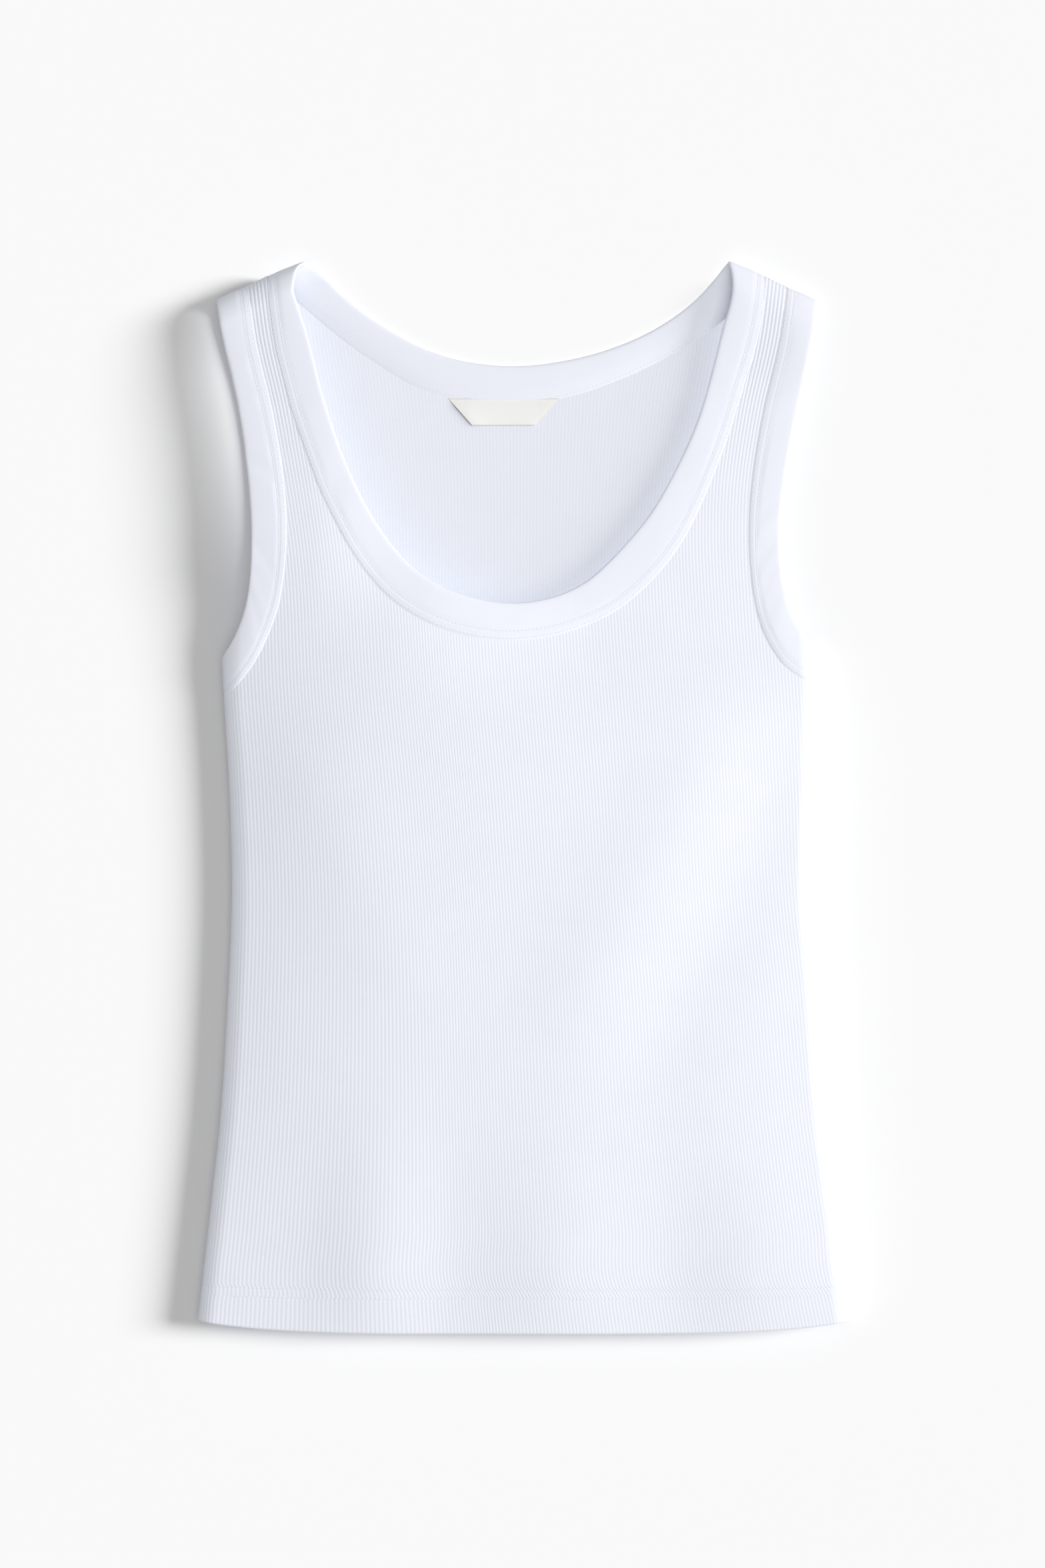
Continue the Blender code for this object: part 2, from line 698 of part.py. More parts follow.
# rib columns: evenly spaced along the front's width, measured over its roll
sample_y = BODY[4][0]
angle = np.linspace(0, math.pi / 2, 400)
start = 1 - FRONT_ROLL / float(half_width(sample_y))
sample_places = np.concatenate([np.linspace(0, start, 200), start + (1 - start) * np.sin(angle[1:])])
run = [front_skin(across(p, sample_y), sample_y)[0] for p in sample_places]
run_length = np.concatenate([[0], np.cumsum(np.linalg.norm(np.diff(run, axis=0), axis=1))])
half = np.interp(np.linspace(0, run_length[-1], RIBS + 1), run_length, sample_places)
even = np.concatenate([-half[::-1], half[1:]])
even[0], even[-1] = -1, 1
raised = {float(place): number % 2 == 1 for number, place in enumerate(even)}
for seam in STRAP_SEAMS:
    # a seam along a strap takes the place of the nearest column
    raised.pop(min(raised, key=lambda place: abs(place - seam)))
    raised[seam] = False
for extra in STEEP_PLACES:
    raised[extra] = False
places = sorted(raised)


def steep(place):
    """Return whether a seam near this place climbs so fast that every column is kept."""
    return any(first <= place <= last for first, last in STEEP_BANDS)


def thin(steps):
    """Return the numbers of the columns a plain surface keeps."""
    last = len(places) - 1
    kept = {0, last}
    for number, place in enumerate(places):
        step = steps[0 if abs(place) < MIDDLE_ZONE else 1 if abs(place) < STRAP_ZONE else 2]
        chosen = number % step == 0 and 2 < number < last - 2
        if chosen or place in STRAP_SEAMS or steep(place):
            kept.add(number)
    return kept


def front_rows(place):
    every = steep(place) or abs(place) > SIDE_ZONE
    return FRONT_ROWS + (STRAP_ROWS if every else STRAP_ROWS[::2])


def back_rows(place):
    every = steep(place) or abs(place) > SIDE_ZONE
    return BACK_ROWS + STRAP_ROWS if every else BACK_ROWS[::2] + STRAP_ROWS[::3]


def shoulder(place):
    return fold_end(place)[1]


arm_minus_edge = edge_height(arm_minus, (ARM_SEAM_MINUS[-1][1], 0))
arm_plus_edge = edge_height(arm_plus, (0, ARM_SEAM_PLUS[-1][1]))
front_zones = [
    (-1, ARM_MINUS, arm_minus_edge),
    (ARM_MINUS, NECK_MINUS, shoulder),
    (NECK_MINUS, NECK_PLUS, edge_height(neck_front, (NECK_SEAM[0][1], NECK_SEAM[-1][1]))),
    (NECK_PLUS, ARM_PLUS, shoulder),
    (ARM_PLUS, 1, arm_plus_edge),
]
back_zones = list(front_zones)
back_zones[2] = (NECK_MINUS, NECK_PLUS, edge_height(neck_back, (SHOULDER_TOP, SHOULDER_TOP)))


def wall_at(place, y, short):
    return HEM_WALL if y < hem_low(place, short) + HEM_DEPTH + HEM_STEP / 2 else WALL


def front_point(place, y):
    point, facing = front_skin(across(place, y), y)
    point[2] = max(point[2], FOLD_HEIGHT + FOLD_GAP / 2)
    return point, facing


def back_point(place, y):
    point, facing = back_skin(across(place, y), y)
    point[2] = min(point[2], FOLD_HEIGHT - FOLD_GAP / 2)
    return point, facing


def front_upper(place, y):
    point, facing = front_point(place, y)
    return point + facing * (RIB_RELIEF if raised[place] else 0)


def front_lower(place, y):
    point, facing = front_point(place, y)
    return point - facing * wall_at(place, y, 0)


def back_lower(place, y):
    return back_point(place, y)[0]


def back_upper(place, y):
    point, facing = back_point(place, y)
    return point - facing * wall_at(place, y, BACK_HEM_SHORT)


panel(
    "front_panel",
    front_zones,
    places,
    thin(FRONT_STEPS),
    front_upper,
    front_lower,
    front_rows,
    SHOULDER_ROLL,
    0,
    rib_cotton,
    garment,
)
back_places = [places[number] for number in sorted(thin(BACK_STEPS))]
panel(
    "back_panel",
    back_zones,
    back_places,
    set(range(len(back_places))),
    back_upper,
    back_lower,
    back_rows,
    BACK_SHOULDER_ROLL,
    BACK_HEM_SHORT,
    rib_cotton,
    garment,
)

# neck binding: across the front from one shoulder to the other, and back behind
front_run = band_run(
    front_skin,
    neck_front,
    smooth_path(metres(NECK_FREE_FRONT)),
    lambda line: neck_marks(line, SHOULDER_ROLL),
    NECK_STATIONS[0],
    True,
)
back_run = band_run(
    back_skin,
    neck_back[::-1],
    smooth_path(metres(NECK_FREE_BACK))[::-1],
    lambda line: neck_marks(line, BACK_SHOULDER_ROLL),
    NECK_STATIONS[1],
    False,
)
band("neck_binding", [front_run, [many[1:-1] for many in back_run]], binding_cotton, garment)

# armhole bindings: the front from the side to the shoulder, and the back down to the side again
for name, seam, free_rows in (
    ("armhole_binding_right", arm_minus, ARM_FREE_MINUS),
    ("armhole_binding_left", arm_plus, ARM_FREE_PLUS),
):
    free = smooth_path(metres(free_rows[::-1]))
    inset = np.sin(np.pi * np.linspace(0, 1, len(free))) ** 2 * BACK_TUCK
    tucked = free + (seam - free) * inset[:, None]
    front_run = band_run(
        front_skin,
        seam,
        free,
        lambda line: arm_marks(line, FRONT_ROLL, SHOULDER_ROLL),
        ARM_STATIONS[0],
        True,
    )
    back_run = band_run(
        back_skin,
        seam,
        tucked,
        lambda line: arm_marks(line, BACK_ROLL, BACK_SHOULDER_ROLL),
        ARM_STATIONS[1],
        False,
    )
    band(name, [front_run, [many[::-1][1:-1] for many in back_run]], binding_cotton, garment)

# label: a short folded tape inside the back, its upper edge over the neck seam
label_points = []
for height in (0, LABEL_WALL):
    for sx, sy in ((-1, 0), (-1, -1), (1, -1), (1, 0)):
        half_x = (LABEL_TOP if sy == 0 else LABEL_FOOT) / 2
        base = LABEL_BASE + (LABEL_TILT if sy else 0)
        label_points.append((LABEL_X + sx * half_x, LABEL_Y + sy * LABEL_DROP, base + height))
label_faces = [(3, 2, 1, 0), (4, 5, 6, 7)] + [(k, (k + 1) % 4, (k + 1) % 4 + 4, k + 4) for k in range(4)]
make("neck_label", label_points, label_faces, label_satin, garment)
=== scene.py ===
import math

import bpy
import numpy as np
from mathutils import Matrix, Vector


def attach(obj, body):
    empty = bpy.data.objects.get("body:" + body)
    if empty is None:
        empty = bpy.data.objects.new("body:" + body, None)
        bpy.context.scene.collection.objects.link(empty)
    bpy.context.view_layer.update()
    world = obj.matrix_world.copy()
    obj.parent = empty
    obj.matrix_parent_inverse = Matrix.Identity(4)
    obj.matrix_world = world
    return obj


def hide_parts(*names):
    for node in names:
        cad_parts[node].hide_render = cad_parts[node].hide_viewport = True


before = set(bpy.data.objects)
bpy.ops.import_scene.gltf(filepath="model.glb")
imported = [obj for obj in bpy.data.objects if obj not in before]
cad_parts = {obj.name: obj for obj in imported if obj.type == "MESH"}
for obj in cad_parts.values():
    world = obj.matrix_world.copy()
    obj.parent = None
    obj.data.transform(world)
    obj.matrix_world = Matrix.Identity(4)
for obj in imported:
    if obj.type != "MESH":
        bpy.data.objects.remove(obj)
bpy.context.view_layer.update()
rng = np.random.default_rng(11)
scene = bpy.context.scene

# ---- the garment's sizes, metres: the same surfaces as the part's source ----
WALL = 0.0012  # knitted panel
HEM_WALL = 0.0024  # two layers at the hem
FOLD_HEIGHT = 0.0065  # height of side and shoulder folds above the table
SIDE_RISE = 0.0060  # rise of the front from its side fold
FRONT_ROLL = 0.0100  # how far in from the side the front rolls over
BACK_ROLL = 0.0120  # the same for the back
SHOULDER_ROLL = 0.0140  # how far below the shoulder fold the front rolls over
BACK_SHOULDER_ROLL = 0.0100  # the same for the back
SHOULDER_TOP = 0.2927  # highest point of the shoulder fold
SHOULDER_MIDDLE = -0.0044  # x of the line between the shoulders
SHOULDER_START = 0.1194  # the fold slopes down from here, measured from that line
SHOULDER_SLOPE = 0.49  # drop for each metre outward
HEM_Y = -0.2927  # bottom of the front at its middle
HEM_RISE = 0.0068  # how much higher the hem's corners are
HEM_CURVE = 4.5  # power of the place across that the hem's edge rises with
BACK_SHORT = 0.001  # the back ends this much above the front
# y, half width, centre line x, crown height (above the side rise)
BODY = (
    (-0.293, 0.179, 0.0001, 0.003), (-0.2278, 0.1719, 0.0004, 0.0056),
    (-0.1694, 0.1655, 0.0002, 0.0074), (-0.111, 0.1619, 0.0002, 0.0088),
    (-0.0526, 0.1588, -0.0007, 0.0098), (0.0058, 0.1602, -0.0007, 0.0102),
    (0.0642, 0.1624, -0.0018, 0.009), (0.1, 0.1624, -0.0022, 0.007),
    (0.1445, 0.1624, -0.0022, 0.0048), (0.1734, 0.165, -0.0022, 0.0038),
    (0.2099, 0.1726, -0.0022, 0.003), (0.2508, 0.1847, -0.0022, 0.0026),
    (0.2796, 0.1898, -0.0022, 0.0024), (0.294, 0.192, -0.0022, 0.0022),
)
CROWN_POWER = 2.8  # how flat the crown is in the middle: a parabola has 2
# the share of the crown that has fallen away at the minus side and at the plus side
FALL_MINUS, FALL_PLUS = 1.12, 0.50
FALL_HALF = 0.5  # the change from one to the other ends at this place across, on either side
# the shares of its height that the front loses where it lies lower, from which y, over what distance
HEM_SETTLE, HEM_SETTLE_REACH = 0.40, 0.040
TOP_SETTLE, TOP_SETTLE_START, TOP_SETTLE_REACH = 0.30, 0.215, 0.060
NECK_SETTLE, NECK_SETTLE_START, NECK_SETTLE_REACH = 0.62, 0.030, 0.075
NECK_SETTLE_PLACE, NECK_SETTLE_WIDE = -0.45, 0.75  # it grows from this place across, over this width
NECK_SETTLE_FADE = 0.045  # it ends over this distance below the shoulder's roll
# how much higher the strap on the minus side stands, from which y and place, over what distance
RAISE, RAISE_START, RAISE_REACH = 0.0050, 0.080, 0.060
RAISE_PLACE, RAISE_WIDE = -0.35, 0.35
# place across, height that a flute adds at the hem
FLUTES = (
    (-1, 0), (-0.69, -0.0012), (-0.47, 0.0016), (-0.23, -0.0013),
    (0.11, 0.0016), (0.47, -0.0014), (0.72, 0.0013), (1, 0),
)
FLUTE_TOP = -0.120  # flutes start here and are full at the hem
MIDDLE_SHARE = 0.74  # the place across where the neck gives way to the armholes
# the straps' edges, as places across
ARM_MINUS, NECK_MINUS, NECK_PLUS, ARM_PLUS = -0.777, -0.731, 0.712, 0.766
# seams of the front, place across, y
NECK_SEAM = (
    (-0.731, 0.245), (-0.728, 0.226), (-0.722, 0.2088), (-0.708, 0.1956), (-0.688, 0.1803),
    (-0.662, 0.1657), (-0.625, 0.1518), (-0.58, 0.1372), (-0.519, 0.1226), (-0.436, 0.108),
    (-0.36, 0.0992), (-0.27, 0.092), (-0.18, 0.0876), (-0.091, 0.0855), (-0.035, 0.085),
    (0.044, 0.086), (0.134, 0.0887), (0.224, 0.0936), (0.315, 0.1007), (0.373, 0.1075),
    (0.465, 0.1215), (0.546, 0.139), (0.606, 0.1595), (0.65, 0.181), (0.676, 0.2),
    (0.691, 0.219), (0.702, 0.239), (0.709, 0.255), (0.712, 0.268),
)
ARM_SEAM_MINUS = (
    (-1, 0.0522), (-0.986, 0.0545), (-0.94, 0.063), (-0.892, 0.0732), (-0.856, 0.0838),
    (-0.833, 0.0925), (-0.813, 0.1012), (-0.799, 0.111), (-0.787, 0.126), (-0.78, 0.142),
    (-0.777, 0.16),
)
ARM_SEAM_PLUS = (
    (1, 0.062), (0.968, 0.0628), (0.928, 0.0662), (0.886, 0.0714), (0.853, 0.0785),
    (0.822, 0.0878), (0.802, 0.097), (0.787, 0.108), (0.776, 0.123), (0.769, 0.14),
    (0.766, 0.16),
)
# the back's neck seam and the bindings' free edges, x, y in millimetres
BACK_NECK_SEAM = (
    (-129.9, 275.9), (-118.3, 266.4), (-110, 259.2), (-100.7, 251.6), (-91, 244.4),
    (-80.3, 237.3), (-71.5, 231.6), (-62.8, 226.6), (-50, 221.4), (-33, 217.3), (-6.6, 215.3),
    (18, 217.6), (36.1, 222.4), (52.9, 228.7), (69.3, 236.1), (85.8, 245), (99.3, 253.6),
    (109.9, 261.6), (121.9, 271.6),
)
NECK_FREE_FRONT = (
    (-119, 292.7), (-122.3, 290), (-125, 281.5), (-125.4, 275.9), (-123.6, 270),
    (-118.5, 254), (-114.6, 239.4), (-111, 224.8), (-106.6, 210.2), (-101.8, 195.6),
    (-96.3, 181), (-89.6, 166.4), (-81.6, 151.8), (-72, 137.8), (-60.4, 125.2), (-47, 116.2),
    (-32, 110.2), (-17, 106.8), (-5, 106), (7, 107.2), (20, 110.6), (33, 117.2),
    (46, 128.2), (58.4, 141.4), (69.5, 155.6), (78.5, 170.5), (86, 185.2), (92.7, 200.4),
    (97.6, 214), (100.9, 225.5), (103.7, 236.5), (109.1, 258.1), (112.3, 268.5), (113.7, 276.5),
    (113.4, 285.5), (111.7, 292.7),
)
NECK_FREE_BACK = (
    (-119, 292.7), (-115.7, 290.6), (-110.2, 285.4), (-98.5, 273.8), (-85.5, 263.2),
    (-72.3, 254.6), (-54.8, 245.4), (-37.2, 239.6), (-6.6, 235.9), (24, 239.1), (48.9, 245.9),
    (69.3, 254.8), (81.5, 262.2), (92.8, 271), (105.1, 284.4), (109, 289.6), (111.7, 292.7),
)
ARM_FREE_MINUS = (
    (-167.9, 271), (-165, 254), (-161.7, 239.4), (-158.2, 224.8), (-155.2, 210.2),
    (-152.9, 195.6), (-151.1, 181), (-149.6, 166.4), (-148.6, 151.8), (-148.4, 137.2),
    (-149, 122.6), (-150.9, 108), (-154.8, 94.6), (-159.6, 84.4), (-164.6, 77),
)
ARM_FREE_PLUS = (
    (160.2, 270.8), (158, 254), (155.3, 239.4), (152.2, 224.8), (149.2, 210.2), (146.4, 195.6),
    (143.8, 181), (141.6, 166.4), (140, 151.8), (139.7, 137.2), (140.9, 122.6), (143.9, 108),
    (149.2, 94.6), (155, 85), (160.2, 78.4),
)
# how far the ribs have drifted towards +X at each y, as a share of the half width
DRIFT = (
    (-0.2935, 0.164), (-0.28, 0.155), (-0.2737, 0.15), (-0.2683, 0.136), (-0.2351, 0.124),
    (-0.1913, 0.113), (-0.1475, 0.102), (-0.1037, 0.092), (-0.0599, 0.08), (-0.0161, 0.062),
    (0.0277, 0.043), (0.0715, 0.026), (0.1153, 0.012), (0.159, 0.002), (0.2, 0), (0.3, 0),
)
DRIFT_HELD, HELD_WIDE = 0.25, 0.7  # the share of it left at the minus side, and how far that is felt
# the ribs below the minus side's strap fan out: how far, below which y, between which places across
RIB_FAN, FAN_TOP, FAN_REACH = 0.035, 0.195, 0.10
FAN_FROM, FAN_GROWS, FAN_TO, FAN_ENDS = -1.25, 0.5, -0.15, 0.35
# soft folds in the front: from x, y to x, y, half width, height (a trough is negative)
FOLDS = (
    (0.12, 0.06, 0.01, -0.15, 0.03, 0.0016),
    (0.155, 0.02, 0.06, -0.17, 0.026, -0.0014),
    (-0.12, 0.04, -0.06, -0.12, 0.03, 0.0008),
)
FOLD_END, FOLD_LEAD = 0.35, 0.3  # the share of its length a fold fades over, and how early it starts

# ---- the knit's and the stitches' sizes ----
RIBS = 190  # whole ribs across a panel
RIB_RELIEF = 0.00013  # how far the front's ribs stand out
BACK_RELIEF, INNER_RELIEF = -0.00005, 0.00006  # the back's ribs, outside and inside
RIB_COLUMNS = (0.0, 0.18, 0.50, 0.82)  # where a rib's columns of points stand, from its valley
CREST_POWER = 6  # how wide and flat the ribs' crests are
STRAP_RIBS, STRAP_RIBS_START, STRAP_RIBS_REACH = 1.2, 0.150, 0.120  # how much deeper ribs get on a strap
ROW_RISE = 0.35  # how much of the hem's rise at the sides its rows of stitches follow
STITCH_ROWS = (0.0193, 0.0241)  # the hem's two rows of stitches, up from its edge
HEM_DENT, HEM_DENT_WIDE = 0.00008, 0.0009  # how deep and wide a row of stitches pulls the cloth in
HEM_JOG = 1.0  # how far the ribs shift between the hem's rows of stitches, in half ribs
JOG_LOW, JOG_HIGH, JOG_REACH = 0.0185, 0.0240, 0.0012  # where that shift starts and ends, and over what
STITCH = 0.0022  # length of a stitch
THREAD_FLAT = 0.45  # how tall a thread is for its width
INNER_IN = 0.0002  # how far a panel's inner sheet is set into its wall
INNER_HEM = (0.018, 0.026, 0.030)  # its first rows over the hem's edge, and where the panel's own begin
TUCK = 0.0022  # how far a panel reaches into its bindings
FAN_ROWS = 2  # how many rows past its end a column still has faces
BACK_SINK = 0.00112  # how far the back's binding is let into the wall, so that it rests on the table


# ---- surfaces ----
def curve(places, values):
    """Return a smooth function through the values at the rising places."""
    places, values = np.asarray(places, float), np.asarray(values, float)
    slopes = np.gradient(values, places)

    def value(place):
        place = np.clip(place, places[0], places[-1])
        k = np.clip(np.searchsorted(places, place) - 1, 0, len(places) - 2)
        step = places[k + 1] - places[k]
        u = (place - places[k]) / step
        return (
            (1 + 2 * u) * (1 - u) ** 2 * values[k] + u * (1 - u) ** 2 * step * slopes[k]
            + u * u * (3 - 2 * u) * values[k + 1] + u * u * (u - 1) * step * slopes[k + 1]
        )

    return value


BODY_Y = [row[0] for row in BODY]
half_width, centre, crown = (curve(BODY_Y, [row[k] for row in BODY]) for k in (1, 2, 3))
flute = curve(*zip(*FLUTES))
drift = curve(*zip(*DRIFT))
FOLD_COS = 1 / math.hypot(1, SHOULDER_SLOPE)


def ease(x):
    """Return 0 below 0, 1 above 1, and a smooth step between."""
    x = np.clip(x, 0, 1)
    return x * x * (3 - 2 * x)


def fold_y(x):
    """Return the y of the shoulder fold."""
    return SHOULDER_TOP - SHOULDER_SLOPE * np.maximum(abs(x - SHOULDER_MIDDLE) - SHOULDER_START, 0)


def across(place, y):
    """Return x from the place across (-1 to 1 from side to side)."""
    return centre(y) + half_width(y) * place


def place_of(x, y):
    """Return the place across from x."""
    return (x - centre(y)) / half_width(y)


def hem_rise(place):
    """Return how far the hem's edge curves up towards the side seams."""
    return HEM_RISE * abs(place) ** HEM_CURVE


def folds(x, y):
    """Return the height that the soft folds add to the front."""
    total = np.zeros(np.broadcast(x, y).shape)
    for x0, y0, x1, y1, wide, height in FOLDS:
        length = math.hypot(x1 - x0, y1 - y0)
        along = ((x - x0) * (x1 - x0) + (y - y0) * (y1 - y0)) / length**2
        away = ((x - x0) * (y1 - y0) - (y - y0) * (x1 - x0)) / length
        shape = height * np.exp(-((away / wide) ** 2))
        ends = ease(along / FOLD_END + FOLD_LEAD), ease((1 - along) / FOLD_END + FOLD_LEAD)
        total = total + shape * ends[0] * ends[1]
    return total


def kept(x, y):
    """Return the share of its height that the front keeps on the shoulders and round the neck."""
    top = TOP_SETTLE * ease((y - TOP_SETTLE_START) / TOP_SETTLE_REACH)
    below = (fold_y(x) - y) * FOLD_COS - SHOULDER_ROLL
    neck = NECK_SETTLE * ease((y - NECK_SETTLE_START) / NECK_SETTLE_REACH)
    neck = neck * ease((place_of(x, y) - NECK_SETTLE_PLACE) / NECK_SETTLE_WIDE)
    neck = neck * ease(below / NECK_SETTLE_FADE)
    return (1 - top) * (1 - neck)


def fall(place):
    """Return the share of the crown that has fallen away at the side nearest a place."""
    return FALL_MINUS + (FALL_PLUS - FALL_MINUS) * ease((place + FALL_HALF) / (2 * FALL_HALF))


def raised(place, y):
    """Return how much higher the strap on the minus side stands."""
    up = ease((y - RAISE_START) / RAISE_REACH)
    return RAISE * up * ease((RAISE_PLACE - place) / RAISE_WIDE)


def dome(x, y):
    """Return how far the front is above the top of its side roll."""
    place = np.clip(place_of(x, y), -1, 1)
    grown = ease((FLUTE_TOP - y) / (FLUTE_TOP - HEM_Y))
    settled = 1 - HEM_SETTLE * ease((HEM_Y + HEM_SETTLE_REACH - y) / HEM_SETTLE_REACH)
    falls = crown(y) * fall(place) * (1 - abs(place) ** CROWN_POWER)
    return (falls + flute(place) * grown) * settled + raised(place, y) + folds(x, y) * (1 - place**8)


def side_rise(x, y):
    """Return how high the front's rolled side stands over the fold."""
    return SIDE_RISE + crown(y) * (1 - fall(place_of(x, y)))


def side_share(x, y, roll):
    """Return how far into a side's roll a point is: 0 where it starts, 1 at the fold."""
    return np.maximum((abs(x - centre(y)) - half_width(y)) / roll + 1, 0)


def shoulder_share(x, y, roll):
    """Return how far into the shoulder's roll a point is: 0 where it starts, 1 at the fold."""
    return np.maximum(1 - (fold_y(x) - y) * FOLD_COS / roll, 0)


def slope(function, x, y, *more):
    """Return a function's slopes along x and y."""
    e = 1e-4
    along_x = (function(x + e, y, *more) - function(x - e, y, *more)) / (2 * e)
    along_y = (function(x, y + e, *more) - function(x, y - e, *more)) / (2 * e)
    return along_x, along_y


def unit(v):
    """Return vectors at length 1."""
    return v / np.maximum(np.linalg.norm(v, axis=-1, keepdims=True), 1e-12)


def front_skin(x, y):
    """Return the front's outer points over plan points, and the way they face."""
    side = np.minimum(side_share(x, y, FRONT_ROLL), 1)
    top = np.minimum(shoulder_share(x, y, SHOULDER_ROLL), 1)
    keep = kept(x, y)
    bend = np.sqrt(1 - side**2)
    side_height = side_rise(x, y)
    whole = dome(x, y) + side_height * bend
    lift = whole * keep
    height = lift * np.sqrt(1 - top**2)
    dome_x, dome_y = slope(dome, x, y)
    rise_x, rise_y = slope(side_rise, x, y)
    base_x = keep * (dome_x + bend * rise_x)
    base_y = keep * (dome_y + bend * rise_y)
    keep_x, keep_y = slope(kept, x, y)
    side_x, side_y = slope(side_share, x, y, FRONT_ROLL)
    top_x, top_y = slope(shoulder_share, x, y, SHOULDER_ROLL)
    rise = bend / (side_height * np.maximum(keep, 0.2))
    lift = np.maximum(lift, 1e-5)
    over = top > 0
    shrink = np.where(over, height**2 / lift**3, rise)
    face_x = np.where(over, top * top_x, side * side_x) - shrink * (base_x + whole * keep_x)
    face_y = np.where(over, top * top_y, side * side_y) - shrink * (base_y + whole * keep_y)
    face_z = np.where(over, height / lift**2, rise)
    return np.stack([x, y, FOLD_HEIGHT + height], -1), unit(np.stack([face_x, face_y, face_z], -1))


def back_skin(x, y):
    """Return the back's outer points under plan points, and the way they face."""
    side = side_share(x, y, BACK_ROLL)
    top = shoulder_share(x, y, BACK_SHOULDER_ROLL)
    side_x, side_y = slope(side_share, x, y, BACK_ROLL)
    top_x, top_y = slope(shoulder_share, x, y, BACK_SHOULDER_ROLL)
    over = top > side
    share = np.minimum(np.where(over, top, side), 1)
    face_x = share * np.where(over, top_x, side_x)
    face_y = share * np.where(over, top_y, side_y)
    drop = FOLD_HEIGHT * np.sqrt(1 - share**2)
    facing = unit(np.stack([face_x, face_y, -drop / FOLD_HEIGHT**2], -1))
    return np.stack([x, y, FOLD_HEIGHT - drop], -1), facing


# ---- seam lines ----
def lengths(points):
    """Return the length along a row of points, up to each."""
    return np.concatenate([[0], np.cumsum(np.linalg.norm(np.diff(points, axis=0), axis=1))])


def smooth_path(points, count=900):
    """Return a smooth line of many points through a few."""
    points = np.asarray(points, float)
    length = lengths(points)
    at = (1 - np.cos(np.pi * np.linspace(0, 1, count))) / 2 * length[-1]
    return np.stack([curve(length, points[:, 0])(at), curve(length, points[:, 1])(at)], axis=1)


def fold_end(place):
    """Return where a strap's edge at a place across meets the shoulder fold."""
    y = SHOULDER_TOP
    for _ in range(20):
        y = float(fold_y(across(place, y)))
    return float(across(place, y)), y


def strap_line(place, low, gap=0.018):
    """Return points up a strap's edge, from a y to the shoulder fold."""
    end = fold_end(place)
    return [(float(across(place, y)), float(y)) for y in np.arange(low + gap, end[1] - gap / 2, gap)] + [end]


def plan(rows):
    """Return x, y from rows of place across, y."""
    return [(float(across(place, y)), y) for place, y in rows]


def metres(rows):
    """Return x, y from rows in millimetres."""
    return [(x / 1000, y / 1000) for x, y in rows]


neck_front = smooth_path(
    strap_line(NECK_MINUS, NECK_SEAM[0][1])[::-1]
    + plan(NECK_SEAM)
    + strap_line(NECK_PLUS, NECK_SEAM[-1][1])
)
neck_back = smooth_path([fold_end(NECK_MINUS)] + metres(BACK_NECK_SEAM) + [fold_end(NECK_PLUS)])
arm_minus = smooth_path(plan(ARM_SEAM_MINUS) + strap_line(ARM_MINUS, ARM_SEAM_MINUS[-1][1]))
arm_plus = smooth_path(plan(ARM_SEAM_PLUS) + strap_line(ARM_PLUS, ARM_SEAM_PLUS[-1][1]))


def edge_height(line, tops):
    """Return a function from place across to a line's y, for the line below its tops."""
    places = place_of(line[:, 0], line[:, 1])
    keep = line[:, 1] <= np.where(places < 0, tops[0], tops[1]) + 1e-6
    order = np.argsort(places[keep], kind="stable")
    placed, heights = places[keep][order], line[keep][order][:, 1]
    return lambda place: np.interp(place, placed, heights)


neck_front_y = edge_height(neck_front, (NECK_SEAM[0][1], NECK_SEAM[-1][1]))
neck_back_y = edge_height(neck_back, (SHOULDER_TOP, SHOULDER_TOP))
arm_minus_y = edge_height(arm_minus, (ARM_SEAM_MINUS[-1][1], 0))
arm_plus_y = edge_height(arm_plus, (0, ARM_SEAM_PLUS[-1][1]))


def inside(x, y, neck_y):
    """Return where a panel has cloth, with what its bindings hide."""
    place = place_of(x, y)
    wide = TUCK / half_width(y)
    strap = (place > ARM_MINUS - wide) & (place < NECK_MINUS + wide)
    strap |= (place > NECK_PLUS - wide) & (place < ARM_PLUS + wide)
    below_arm = np.where(place < 0, y < arm_minus_y(place) + TUCK, y < arm_plus_y(place) + TUCK)
    under = np.where(abs(place) < MIDDLE_SHARE, y < neck_y(place) + TUCK, below_arm)
    return (y < fold_y(x)) & (strap | under)


# ---- meshes ----
def placed(name, data):
    """Return a new object in the scene."""
    thing = bpy.data.objects.new(name, data)
    scene.collection.objects.link(thing)
    return thing


def make(name, points, faces, material, uv, painted_shade, replaces=()):
    """Make a smooth mesh with the thread's directions as uv and an amount of painted shade at each point."""
    mesh = bpy.data.meshes.new(name)
    mesh.from_pydata(np.asarray(points, float).tolist(), [], faces)
    mesh.polygons.foreach_set("use_smooth", np.ones(len(mesh.polygons), bool))
    corner = np.empty(len(mesh.loops), int)
    mesh.loops.foreach_get("vertex_index", corner)
    thread = mesh.uv_layers.new(name="thread")
    thread.data.foreach_set("uv", np.asarray(uv, float)[corner].ravel())
    # painted shade: each point's amount darkens rib valleys, binding seams and the label's folded ends
    depth = mesh.attributes.new("painted_shade", "FLOAT", "POINT")
    depth.data.foreach_set("value", np.asarray(painted_shade, float))
    mesh.materials.append(material)
    mesh.update()
    thing = placed(name, mesh)
    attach(thing, "root")
    if replaces:
        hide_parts(*replaces)
    return thing


# columns along the ribs: even in the length round the front at one height
sample_y = BODY[4][0]
quarter = np.linspace(0, math.pi / 2, 400)[1:]
flat_end = 1 - FRONT_ROLL / float(half_width(sample_y))
sample = np.concatenate([np.linspace(0, flat_end, 200), flat_end + (1 - flat_end) * np.sin(quarter)])
run = front_skin(across(sample, sample_y), np.full(len(sample), sample_y))[0]
run_share = lengths(run) / lengths(run)[-1]


